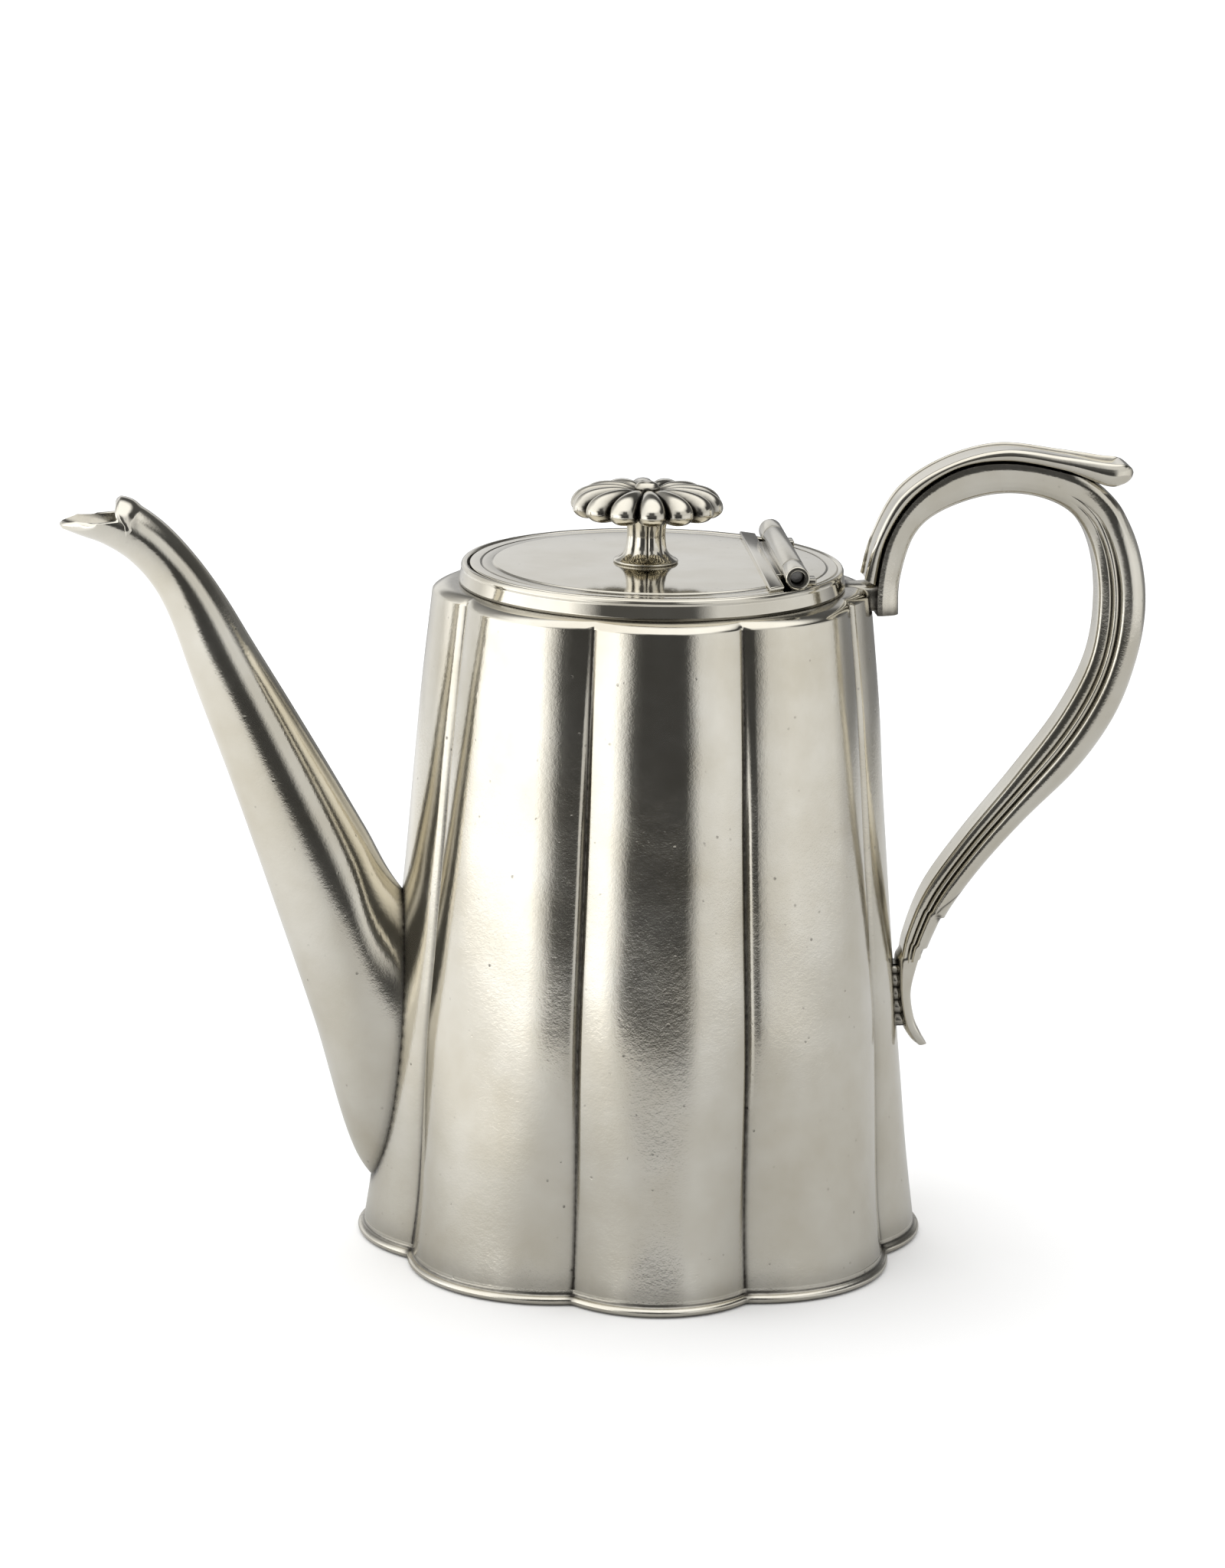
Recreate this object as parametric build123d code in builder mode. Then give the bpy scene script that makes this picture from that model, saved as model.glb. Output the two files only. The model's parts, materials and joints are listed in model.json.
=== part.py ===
"""Lobed pewter coffee pot: eight-lobed body, hinged lid with a fluted knob, beak spout
and a loop handle with a thumb rest.

Frame: Z up, table at z = 0, the body's axis is the Z axis, the spout points to -X and
the handle to +X. Every sub-part is made in its place with the lid closed.
"""
from build123d import *
from math import cos, radians, sin, sqrt
import os

os.makedirs("parts", exist_ok=True)

# ---- driving dimensions, mm -------------------------------------------------
LOBES = 8
STEP = radians(360 / LOBES)
WALL = 1.3

# body outside at each height: z, radius at a lobe's crest, radius in a groove
BODY = [
    (3.4, 62.2, 56.5),
    (12.0, 61.0, 55.4),
    (37.6, 58.3, 53.0),
    (64.6, 55.7, 50.6),
    (96.6, 52.9, 48.1),
    (125.0, 50.7, 46.1),
    (147.0, 48.4, 44.0),
]
FOOT_H = 3.4
FOOT_BEAD = [(0.0, 62.6, 56.8), (0.9, 63.5, 57.6), (1.7, 63.8, 57.9), (2.5, 63.5, 57.6), (3.4, 62.6, 56.8)]
FOOT_INNER = (60.2, 54.7)
BASE_T = 1.5

# shoulder cove, from the scalloped edge in to the round collar
SHOULDER = [(147.0, 48.7, 44.3), (147.7, 48.5, 44.1), (148.1, 45.6, 43.5), (148.8, 42.7, 42.69)]
MOUTH_R = 36.5

# collar and lid
COLLAR_Z = 148.8
COLLAR_R = 42.6
COLLAR_TOP = 153.4
SEAT_Z = 151.3
LID_BORE_R = 40.7
LID_R = 40.2
LID_Z = 151.7
LID_T = 1.5
LID_TOP = LID_Z + LID_T
LID_CUT_X = 25.7
BEZEL_R = 35.7
BEZEL_T = 1.2
BEZEL_Z = 148.6
BORDER_R = 35.2
DECK_CUT_X = 31.2

# hinge: barrel along Y
PIN_X, PIN_Z = 29.0, 155.4
BARREL_R = 2.6
PIN_R = 1.6
PIN_FIT = 0.05
BARREL_HALF = 28.5
KNUCKLE_HALF = 19.3
KNUCKLE_GAP = 0.4
PIN_HALF = 25.5
LEAF_X0, LEAF_X1 = 22.5, 25.9

# knob
KNOB_X = -1.5
PETALS = 14
PETAL_R = 16.9
STUD_R = 2.0

# handle, half widths across
GRIP_HALF, SPINE_HALF, STRAP_HALF, TAIL_HALF = 4.6, 5.3, 6.6, 4.2


# ---- shared outlines --------------------------------------------------------
def polar(radius, angle):
    return (radius * cos(angle), radius * sin(angle))


def lobed(z, crest, groove, cut=0.0):
    """Sketch of the lobed outline at height z, with cut taken off all round."""
    half, run = groove * sin(STEP / 2), groove * cos(STEP / 2)
    sag = crest - run
    arc_r = (half**2 + sag**2) / (2 * sag)
    mid_r = crest - arc_r
    arc_r -= cut
    valley = mid_r * cos(STEP / 2) + sqrt(arc_r**2 - (mid_r * sin(STEP / 2)) ** 2)
    with BuildSketch(Plane.XY.offset(z)) as outline:
        with BuildLine():
            for i in range(LOBES):
                a = i * STEP
                ThreePointArc(
                    polar(valley, a - STEP / 2), polar(mid_r + arc_r, a), polar(valley, a + STEP / 2)
                )
        make_face()
    return outline.sketch.face()


def lobed_loft(rows, cut=0.0, mode=Mode.ADD, ruled=False):
    loft(sections=[lobed(*row, cut=cut) for row in rows], ruled=ruled, mode=mode)


def tube_y(x, z, r, y0, y1, mode=Mode.ADD):
    """Round bar along Y from y0 to y1."""
    with Locations(Plane(origin=(x, (y0 + y1) / 2, z), z_dir=(0, 1, 0))):
        Cylinder(r, abs(y1 - y0), mode=mode)


def block(x0, x1, y0, y1, z0, z1, mode=Mode.ADD):
    with Locations(((x0 + x1) / 2, (y0 + y1) / 2, (z0 + z1) / 2)):
        Box(x1 - x0, y1 - y0, z1 - z0, mode=mode)


def ring(r_in, r_out, z0, z1):
    with BuildSketch(Plane.XY.offset(z0)) as flat:
        Circle(r_out)
        if r_in:
            Circle(r_in, mode=Mode.SUBTRACT)
    extrude(flat.sketch, amount=z1 - z0)


def save(builder, label):
    builder.part.label = label
    export_step(builder.part, f"parts/{label}.step")


# ---- body -------------------------------------------------------------------
with BuildPart() as body_wall:
    lobed_loft(BODY)
    lobed_loft(BODY, cut=WALL, mode=Mode.SUBTRACT)
    # pouring slot into the spout
    with BuildSketch(Plane(origin=(-70, 0, 47), x_dir=(0, 0, 1), z_dir=(1, 0, 0))):
        SlotOverall(46, 17)
    extrude(amount=35, mode=Mode.SUBTRACT)
save(body_wall, "body_wall")

with BuildPart() as foot_rim:
    lobed_loft(FOOT_BEAD)
    extrude(lobed(0, *FOOT_INNER), amount=FOOT_H, mode=Mode.SUBTRACT)
save(foot_rim, "foot_rim")

with BuildPart() as base_plate:
    extrude(lobed(FOOT_H - BASE_T, *FOOT_INNER), amount=BASE_T)
save(base_plate, "base_plate")

with BuildPart() as shoulder:
    lobed_loft(SHOULDER, ruled=True)
    with Locations((0, 0, COLLAR_Z)):
        Cylinder(MOUTH_R, 8, mode=Mode.SUBTRACT)
save(shoulder, "shoulder")

with BuildPart() as collar:
    with BuildSketch(Plane.XZ):
        with BuildLine():
            Polyline(
                (MOUTH_R, COLLAR_Z), (COLLAR_R - 0.3, COLLAR_Z), (COLLAR_R, COLLAR_Z + 0.6), (COLLAR_R, 152.2)
            )
            ThreePointArc((COLLAR_R, 152.2), (COLLAR_R - 0.4, 153.05), (COLLAR_R - 1.2, COLLAR_TOP))
            Polyline(
                (COLLAR_R - 1.2, COLLAR_TOP), (LID_BORE_R, COLLAR_TOP - 0.3), (LID_BORE_R, SEAT_Z),
                (MOUTH_R, SEAT_Z), (MOUTH_R, COLLAR_Z),
            )
        make_face()
    revolve(axis=Axis.Z)
save(collar, "collar")

with BuildPart() as rear_deck:
    ring(0, LID_BORE_R, SEAT_Z, LID_TOP)
    block(-50, DECK_CUT_X, -50, 50, 140, 160, mode=Mode.SUBTRACT)
    # engraved line a little inside the edge
    with BuildSketch(Plane.XY.offset(LID_TOP)):
        Circle(38.6)
        Circle(38.2, mode=Mode.SUBTRACT)
    extrude(amount=-0.3, mode=Mode.SUBTRACT)
save(rear_deck, "rear_deck")

# ---- hinge ------------------------------------------------------------------
for side, label in ((-1, "hinge_end_front"), (1, "hinge_end_back")):
    y0, y1 = side * (KNUCKLE_HALF + KNUCKLE_GAP), side * BARREL_HALF
    with BuildPart() as hinge_end:
        tube_y(PIN_X, PIN_Z, BARREL_R, y0, y1)
        # sole soldered down on the deck
        low, high = min(y0, y1) + (side < 0) * 4, max(y0, y1) - (side > 0) * 4
        block(PIN_X + 1.2, 33.6, low, high, LID_TOP, 154.5)
        tube_y(PIN_X, PIN_Z, PIN_R, y0, y1, mode=Mode.SUBTRACT)
        # clear of the collar's rounded top
        with BuildSketch(Plane.XZ):
            with BuildLine():
                Polyline((LID_BORE_R, 150), (48, 150), (48, COLLAR_TOP), (LID_BORE_R, COLLAR_TOP), close=True)
            make_face()
        revolve(axis=Axis.Z, mode=Mode.SUBTRACT)
    save(hinge_end, label)

with BuildPart() as hinge_pin:
    tube_y(PIN_X, PIN_Z, PIN_R, -PIN_HALF, PIN_HALF)
    chamfer(hinge_pin.edges().filter_by(GeomType.CIRCLE), 0.3)
save(hinge_pin, "hinge_pin")

# ---- lid --------------------------------------------------------------------
with BuildPart() as lid_plate:
    ring(0, LID_R, LID_Z, LID_TOP)
    # raised field inside the border line
    with BuildSketch(Plane.XY.offset(LID_TOP)):
        Circle(BORDER_R)
    extrude(amount=0.3, taper=30)
    with BuildSketch(Plane.XY.offset(LID_TOP)):
        Circle(37.9)
        Circle(37.5, mode=Mode.SUBTRACT)
    extrude(amount=-0.3, mode=Mode.SUBTRACT)
    block(LEAF_X0, 50, -50, 50, LID_TOP, 160, mode=Mode.SUBTRACT)
    block(LID_CUT_X, 50, -50, 50, 140, 160, mode=Mode.SUBTRACT)
    with Locations((KNOB_X, 0, LID_Z)):
        Cylinder(STUD_R, 10, mode=Mode.SUBTRACT)
save(lid_plate, "lid_plate")

with BuildPart() as lid_bezel:
    ring(BEZEL_R - BEZEL_T, BEZEL_R, BEZEL_Z, LID_Z)
    block(23.5, 50, -50, 50, 140, 160, mode=Mode.SUBTRACT)
save(lid_bezel, "lid_bezel")

with BuildPart() as lid_leaf:
    ring(0, LID_R, LID_TOP, LID_TOP + 1.1)
    block(-50, LEAF_X0, -50, 50, 140, 160, mode=Mode.SUBTRACT)
    block(LEAF_X1, 50, -50, 50, 140, 160, mode=Mode.SUBTRACT)
    block(LEAF_X1 - 0.5, PIN_X, -KNUCKLE_HALF, KNUCKLE_HALF, LID_TOP, LID_TOP + 1.4)
    tube_y(PIN_X, PIN_Z, BARREL_R, -KNUCKLE_HALF, KNUCKLE_HALF)
    tube_y(PIN_X, PIN_Z, PIN_R + PIN_FIT, -KNUCKLE_HALF, KNUCKLE_HALF, mode=Mode.SUBTRACT)
save(lid_leaf, "lid_leaf")

# ---- knob -------------------------------------------------------------------
STEM = [(7.0, 154.4), (5.3, 155.9), (4.4, 158.4), (4.3, 161.0), (5.0, 164.0)]
with BuildPart() as knob_stem:
    with BuildSketch(Plane.XZ):
        with BuildLine():
            Polyline((STUD_R, LID_TOP + 0.3), (6.9, LID_TOP + 0.3), (7.2, 154.0), STEM[0])
            Spline(*STEM)
            Polyline(STEM[-1], (STUD_R, 164.0), (STUD_R, LID_TOP + 0.3))
        make_face()
    revolve(axis=Axis.Z)
    # eight flutes down the waist
    with PolarLocations(5.1, 8, start_angle=22.5):
        Cylinder(0.9, 24, mode=Mode.SUBTRACT, align=(Align.CENTER, Align.CENTER, Align.CENTER))
    with BuildSketch(Plane.XY.offset(100)):
        Circle(10)
    extrude(amount=50, mode=Mode.SUBTRACT)
knob_stem.part.position = (KNOB_X, 0, 0)
save(knob_stem, "knob_stem")

with BuildPart() as knob_flower:
    with BuildSketch(Plane.XZ):
        with BuildLine():
            Polyline((0, 168.6), (STUD_R + 2.2, 168.6), (STUD_R + 2.2, 170.4))
            Spline(
                (STUD_R + 2.2, 170.4), (9.5, 170.2), (14.5, 168.9), (PETAL_R, 166.4), (15.8, 164.4), (13.6, 163.9)
            )
            Polyline((13.6, 163.9), (5.0, 164.0), (0, 164.0), (0, 168.6))
        make_face()
    revolve(axis=Axis.Z)
    # flutes between the petals: a notch in the rim and a groove over the top
    with PolarLocations(PETAL_R + 0.5, PETALS):
        Cylinder(1.1, 400, mode=Mode.SUBTRACT)
    for i in range(PETALS):
        a = 360 / PETALS * i
        lean = Plane(origin=(0, 0, 171.4), x_dir=(0, 1, 0), z_dir=(1, 0, -0.1)).rotated((0, 0, a))
        with Locations(lean):
            Cylinder(0.9, 20, mode=Mode.SUBTRACT, align=(Align.CENTER, Align.CENTER, Align.MIN))
    with Locations((0, 0, 164.0)):
        Cylinder(STUD_R, 6.2, mode=Mode.SUBTRACT)
knob_flower.part.position = (KNOB_X, 0, 0)
save(knob_flower, "knob_flower")

with BuildPart() as knob_button:
    with BuildSketch(Plane.XZ):
        with BuildLine():
            Polyline((4.2, 170.2), (4.2, 168.6), (0, 168.6), (0, 171.6))
            Spline((4.2, 170.2), (3.4, 171.1), (0, 171.6), tangents=[(0, 1), (-1, 0)])
        make_face()
    revolve(axis=Axis.Z)
knob_button.part.position = (KNOB_X, 0, 0)
save(knob_button, "knob_button")

with BuildPart() as knob_stud:
    with BuildSketch(Plane.XY.offset(147.2)):
        with Locations((KNOB_X, 0)):
            Circle(STUD_R)
    extrude(amount=167.1 - 147.2)
save(knob_stud, "knob_stud")

with BuildPart() as knob_washer:
    with BuildSketch(Plane.XY.offset(LID_Z - 0.8)):
        with Locations((KNOB_X, 0)):
            Circle(6.0)
            Circle(STUD_R, mode=Mode.SUBTRACT)
    extrude(amount=0.8)
save(knob_washer, "knob_washer")

with BuildPart() as knob_nut:
    with BuildSketch(Plane.XY.offset(LID_Z - 3.6)):
        with Locations((KNOB_X, 0)):
            RegularPolygon(4.0, 6)
            Circle(STUD_R, mode=Mode.SUBTRACT)
    extrude(amount=2.8)
    chamfer(knob_nut.faces().sort_by(Axis.Z)[0].outer_wire().edges(), 0.4)
save(knob_nut, "knob_nut")

# ---- spout ------------------------------------------------------------------
# stations: upper point, lower point (x, z), half width across
SPOUT = [
    ((-38.0, 62.0), (-50.5, 5.0), 12.8),
    ((-54.5, 79.5), (-63.8, 17.5), 12.4),
    ((-62.6, 93.3), (-73.9, 49.7), 11.6),
    ((-70.8, 107.4), (-83.2, 77.5), 10.2),
    ((-79.4, 121.8), (-92.4, 104.0), 8.8),
    ((-87.5, 135.1), (-100.4, 125.6), 7.5),
    ((-93.8, 145.6), (-105.5, 140.0), 6.4),
    ((-99.6, 153.8), (-109.6, 148.0), 5.9),
    ((-106.2, 161.1), (-114.6, 153.6), 5.7),
    ((-112.8, 166.4), (-120.2, 157.2), 5.7),
    ((-120.0, 169.5), (-125.6, 159.2), 5.4),
    ((-127.0, 171.0), (-131.2, 161.4), 4.7),
]
SPOUT_WALL = 1.3
HOOD_X, LIP_Z, LIP_X = -116.2, 163.2, -129.4


def stations(steps=5):
    """The stated stations with smooth ones between them: x and z of both points, half width."""
    rows = [(*upper, *lower, half) for upper, lower, half in SPOUT]
    ends = [rows[0]] + rows + [rows[-1]]
    out = []
    for p, q, r, w in zip(ends, ends[1:], ends[2:], ends[3:]):
        for t in [k / steps for k in range(steps)]:
            out.append([
                b + t * (c - a) / 2 + t**2 * (2 * a - 5 * b + 4 * c - d) / 2
                + t**3 * (3 * b - a - 3 * c + d) / 2
                for a, b, c, d in zip(p, q, r, w)
            ])
    return out + [rows[-1]]


def spout_skin(cut=0.0):
    """Two smooth half skins through the stations, and the closed rim at each end."""
    halves, rims = [], []
    for side in (1, -1):
        grid = []
        for ux, uz, lx, lz, half in stations():
            run = Vector(ux - lx, 0, uz - lz)
            mid = Vector((ux + lx) / 2, 0, (uz + lz) / 2)
            up = run.normalized() * (run.length / 2 - cut)
            across = Vector(0, side * (half - cut), 0)
            turns = [radians(t) for t in range(0, 181, 15)]
            grid.append([mid + up * cos(t) + across * sin(t) for t in turns])
        halves.append(Face.make_surface_from_array_of_points(grid, tol=0.02, max_deg=3))
    for (ux, uz), (lx, lz), half in (SPOUT[0], SPOUT[-1]):
        mid = Vector((ux + lx) / 2, 0, (uz + lz) / 2)
        edges = []
        for face, side in zip(halves, (1, -1)):
            widest = mid + Vector(0, side * (half - cut), 0)
            edges.append(face.edges().sort_by(lambda e: ((e @ 0.5) - widest).length)[0])
        rims.append(Wire(edges))
    return halves, rims


with BuildPart() as spout:
    outer, outer_rims = spout_skin()
    inner, inner_rims = spout_skin(cut=SPOUT_WALL)
    ends = [Face(big, [small]) for big, small in zip(outer_rims, inner_rims)]
    add(Solid(Shell(outer + inner + ends)))
    lobed_loft(BODY, mode=Mode.SUBTRACT)
    # open beak ahead of the hood
    block(-150, HOOD_X, -20, 20, LIP_Z, 190, mode=Mode.SUBTRACT)
    block(-150, LIP_X, -20, 20, 140, 190, mode=Mode.SUBTRACT)
save(spout, "spout")

# ---- handle, outlines in the XZ plane --------------------------------------
INNER = [
    (54.5, 142.5), (54.7, 150.5), (57.6, 160.2), (63.5, 165.6), (74.0, 169.2), (84.0, 169.0), (92.3, 165.2),
    (97.0, 157.5), (98.8, 146.0), (97.4, 133.0), (91.5, 120.1), (81.6, 106.1), (70.5, 91.8), (62.6, 80.0),
    (58.6, 69.5), (57.4, 62.5),
]
MIDDLE = [
    (51.6, 142.5), (52.0, 151.0), (55.4, 161.4), (62.6, 168.3), (73.6, 172.3), (85.0, 172.0), (95.2, 167.2),
    (100.8, 158.0), (102.9, 145.0), (101.0, 128.0), (92.0, 112.4), (81.0, 98.6), (70.0, 87.2), (63.4, 76.4),
    (60.1, 68.0), (59.0, 62.5),
]
SEAM = [
    (49.4, 149.0), (51.4, 159.4), (57.0, 168.6), (66.4, 175.2), (77.4, 176.9), (90.0, 174.9),
    (100.4, 171.2),
]
BACK = [
    (100.4, 171.2), (104.4, 165.2), (108.2, 156.6), (110.0, 146.0), (109.0, 134.4), (104.6, 120.4),
    (96.4, 107.6), (84.6, 95.4), (75.0, 84.2), (67.4, 73.2),
]
STRAP_TOP = [
    (46.6, 150.6), (48.8, 159.2), (54.4, 169.6), (64.4, 176.4), (76.6, 179.7), (90.0, 178.3), (102.2, 176.6),
]


def outline_solid(curves, half, mode=Mode.ADD):
    """Prism across Y from splines joined end to end, closed with a line."""
    with BuildSketch(Plane.XZ) as side_view:
        with BuildLine():
            for curve in curves:
                Spline(*curve) if len(curve) > 2 else Line(*curve)
            Line(curves[-1][-1], curves[0][0])
        make_face()
    extrude(side_view.sketch, amount=half, both=True, mode=mode)


with BuildPart() as handle_grip:
    outline_solid([INNER, [INNER[-1], MIDDLE[-1]], MIDDLE[::-1]], GRIP_HALF)
save(handle_grip, "handle_grip")

with BuildPart() as handle_spine:
    low_end, high_end = (62.8, 64.0), (SEAM[0][0], MIDDLE[0][1])
    outline_solid(
        [MIDDLE, [MIDDLE[-1], low_end], [low_end, BACK[-1]], BACK[::-1], SEAM[::-1], [SEAM[0], high_end]],
        SPINE_HALF,
    )
save(handle_spine, "handle_spine")

with BuildPart() as thumb_rest:
    outline_solid(
        [SEAM, [SEAM[-1], (103.6, 172.6)], [(103.6, 172.6), (105.4, 174.6), STRAP_TOP[-1]], STRAP_TOP[::-1]],
        STRAP_HALF,
    )
save(thumb_rest, "thumb_rest")

with BuildPart() as handle_tail:
    outline_solid(
        [
            [(57.4, 62.5), (58.4, 54.0), (59.4, 47.6), (62.2, 42.8)],
            [(62.2, 42.8), (64.4, 43.0)],
            [(64.4, 43.0), (61.6, 50.0), (60.8, 55.8), (62.0, 62.5)],
        ],
        TAIL_HALF,
    )
save(handle_tail, "handle_tail")

with BuildPart() as upper_bracket:
    top = STRAP_TOP[0]
    outline_solid(
        [[(38.0, 142.5), high_end], [high_end, SEAM[0]], [SEAM[0], top], [top, (38.0, top[1])]], 5.5
    )
    chamfer(upper_bracket.edges().filter_by(Axis.X), 1.2)
    lobed_loft(BODY, mode=Mode.SUBTRACT)
    lobed_loft(SHOULDER, ruled=True, mode=Mode.SUBTRACT)
    with BuildSketch(Plane.XY.offset(COLLAR_Z)):
        Circle(COLLAR_R)
    extrude(amount=6, mode=Mode.SUBTRACT)
save(upper_bracket, "upper_bracket")

with BuildPart() as lower_bracket:
    face = [(57.4, 62.3), (58.4, 54.0), (59.4, 47.8)]
    outline_solid([[(52.0, 62.3), face[0]], face, [face[-1], (52.0, 47.8)]], 3.6)
    # ridges round the stub
    for z in (50.4, 53.4, 56.4, 59.4):
        for side in (-1, 1):
            block(50, 62, side * 3.6 - 0.6, side * 3.6 + 0.6, z - 0.6, z + 0.6, mode=Mode.SUBTRACT)
    lobed_loft(BODY, mode=Mode.SUBTRACT)
    add(handle_tail.part, mode=Mode.SUBTRACT)
save(lower_bracket, "lower_bracket")
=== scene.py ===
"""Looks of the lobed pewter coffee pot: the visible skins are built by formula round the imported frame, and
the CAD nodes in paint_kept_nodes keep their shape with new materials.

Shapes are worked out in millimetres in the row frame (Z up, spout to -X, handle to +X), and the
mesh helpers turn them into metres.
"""
import json
from math import cos, pi, radians, sin, tau

import bmesh
import bpy
import numpy as np
from mathutils import Matrix, Vector


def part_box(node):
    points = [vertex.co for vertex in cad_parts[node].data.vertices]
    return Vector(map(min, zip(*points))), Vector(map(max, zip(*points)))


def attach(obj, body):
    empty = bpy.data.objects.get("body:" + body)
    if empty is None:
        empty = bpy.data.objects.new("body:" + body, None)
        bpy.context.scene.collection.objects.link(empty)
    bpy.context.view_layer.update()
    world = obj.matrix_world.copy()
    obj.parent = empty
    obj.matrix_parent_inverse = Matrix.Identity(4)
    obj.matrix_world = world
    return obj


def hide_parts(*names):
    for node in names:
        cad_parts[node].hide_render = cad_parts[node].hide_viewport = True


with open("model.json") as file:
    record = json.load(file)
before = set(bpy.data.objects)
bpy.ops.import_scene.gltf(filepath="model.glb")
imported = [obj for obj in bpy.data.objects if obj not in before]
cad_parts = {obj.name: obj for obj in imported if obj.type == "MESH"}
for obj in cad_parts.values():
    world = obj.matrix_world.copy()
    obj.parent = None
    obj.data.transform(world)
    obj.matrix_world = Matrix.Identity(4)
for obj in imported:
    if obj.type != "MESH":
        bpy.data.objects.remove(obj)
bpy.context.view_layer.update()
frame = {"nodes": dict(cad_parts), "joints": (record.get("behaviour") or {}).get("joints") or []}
MM = 0.001


def mm_box(node):
    lo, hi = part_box(node)
    return np.array(lo) / MM, np.array(hi) / MM


# ---- sizes taken from the frame ------------------------------------------------------
HINGE = np.array(frame["joints"][0]["pos_m"]) / MM
PIN_X, PIN_Z = HINGE[0], HINGE[2]
FOOT_TOP = mm_box("foot_rim")[1][2]
WALL_TOP = mm_box("body_wall")[1][2]
COLLAR_LO, COLLAR_HI = mm_box("collar")
COLLAR_R, COLLAR_Z, COLLAR_TOP = COLLAR_HI[1], COLLAR_LO[2], COLLAR_HI[2]
LID_LO, LID_HI = mm_box("lid_plate")
LID_R, LID_CUT_X, LID_Z = -LID_LO[0], LID_HI[0], LID_LO[2]
DECK_LO, DECK_HI = mm_box("rear_deck")
LID_TOP = DECK_HI[2]
LEAF_X0 = mm_box("lid_leaf")[0][0]
BARREL_HALF = -mm_box("hinge_end_front")[0][1]
END_Y0 = -mm_box("hinge_end_front")[1][1]
KNUCKLE_HALF = END_Y0 - 0.4
FLOWER_LO, FLOWER_HI = mm_box("knob_flower")
KNOB_X = (FLOWER_LO[0] + FLOWER_HI[0]) / 2
STEM_Z = mm_box("knob_stem")[0][2]
LIP_X = mm_box("spout")[0][0]

# ---- driving dimensions of the shapes, mm --------------------------------------------
LOBES = 8
STEP = tau / LOBES
WALL = 1.3
# height, radius at the crest of a lobe, radius in the groove
BODY = np.array([
    (3.4, 62.2, 56.3), (12.0, 61.0, 55.2), (37.6, 58.3, 52.6), (64.6, 55.7, 50.3),
    (96.6, 52.9, 48.9), (125.0, 50.7, 47.4), (147.0, 48.4, 45.2),
])
GROOVE_EASE = 0.010  # radians over which the bottom of a groove is rounded
LOBE_DEPTH = 2.8  # from the crest of a lobe to where its channel starts
CHANNEL = 0.85
MOUTH_R = 36.5
LID_LINE_R, LID_FIELD_R, DECK_LINE_R = 37.7, 35.4, 38.4
SLOT_R, SLOT_LOW_Z, SLOT_TOP_Z = 8.5, 32.5, 61.5
SLOT_X = (-68.0, -40.0)
BARREL_R, PIN_R, SOLE_X = 2.6, 1.6, 33.6
PETALS = 14
STEM_LOBES = 8
# upper side (x, z), lower side (x, z), half width
SPOUT = [
    ((-38.0, 62.0), (-50.5, 5.0), 12.8), ((-54.5, 79.5), (-63.8, 17.5), 12.4),
    ((-62.6, 93.3), (-73.9, 49.7), 11.6), ((-70.8, 107.4), (-83.2, 77.5), 10.2),
    ((-79.4, 121.8), (-92.4, 104.0), 8.8), ((-87.5, 135.1), (-100.4, 125.6), 7.5),
    ((-93.8, 145.6), (-105.5, 140.0), 6.4), ((-99.6, 153.8), (-109.6, 148.0), 6.0),
    ((-106.2, 161.1), (-114.6, 153.6), 6.4), ((-112.8, 165.9), (-120.2, 157.2), 7.0),
    ((-120.0, 168.5), (-125.6, 159.2), 6.9), ((-127.0, 170.0), (-131.2, 161.4), 5.7),
]
SPOUT_WALL = 1.3
HOOD_X, LIP_Z = -116.2, 163.2
HOOD_BOW, BOW_Z, BOW_HALF = 1.1, 165.0, 2.9
RIM_REACH, RIM_BACK, RIM_FRONT = radians(101), 4.8, 1.0
FOOT_SPAN, BEAK_SPAN = (0.0, 4.5), (7.5, 11.0)  # parameters between which the spout's two ends lie
# handle, (x, z) along its inner and outer sides
INNER = [
    (54.5, 142.5), (54.7, 150.5), (57.6, 160.2), (63.5, 165.6), (74.0, 169.2), (84.0, 169.0), (92.3, 165.2),
    (97.0, 157.5), (98.8, 146.0), (97.4, 133.0), (91.5, 120.1), (81.6, 106.1), (70.5, 91.8), (62.6, 80.0),
    (58.6, 69.5), (57.4, 62.5),
]
OUTER = [
    (49.4, 142.5), (49.4, 149.0), (51.4, 159.4), (57.0, 168.6), (66.4, 175.2), (77.4, 176.9), (90.0, 174.9),
    (99.6, 171.4), (104.4, 165.2), (108.2, 156.6), (110.0, 146.0), (109.0, 134.4), (104.6, 120.4),
    (96.4, 107.6), (84.6, 95.4), (75.0, 84.2), (67.4, 73.2), (62.8, 64.0),
]
STRAP_TOP = [
    (46.6, 150.6), (48.8, 159.2), (54.4, 169.6), (64.4, 176.4), (76.6, 179.7), (90.0, 178.3),
    (99.5, 176.9), (103.2, 176.6), (105.0, 175.7), (105.8, 174.6),
]
STRAP_UNDER = [
    (49.4, 149.0), (51.4, 159.4), (57.0, 168.6), (66.4, 175.2), (77.4, 176.9), (90.0, 174.9),
    (99.6, 171.6), (103.1, 171.9), (105.0, 172.9), (105.8, 174.0),
]
STRAP_HALF = [4.6, 4.9, 5.3, 5.7, 6.0, 6.4, 6.5, 5.8, 4.3, 2.2]
TAIL_FRONT = [
    (59.0, 67.5), (57.2, 64.8), (56.5, 62.5), (57.0, 55.0), (58.4, 48.4), (60.2, 45.0), (62.4, 42.9),
]
TAIL_BACK = [
    (62.6, 67.5), (62.4, 64.8), (61.6, 62.5), (60.2, 56.0), (61.0, 50.2), (62.7, 46.2), (64.3, 43.3),
]
TAIL_HALF = [2.6, 3.9, 4.2, 4.3, 4.1, 3.4, 1.5]

# ---- mesh settings -------------------------------------------------------------------
SHARP = 38  # degrees between faces from which an edge stays sharp
ROUND = 320  # segments of the large round pieces


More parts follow.
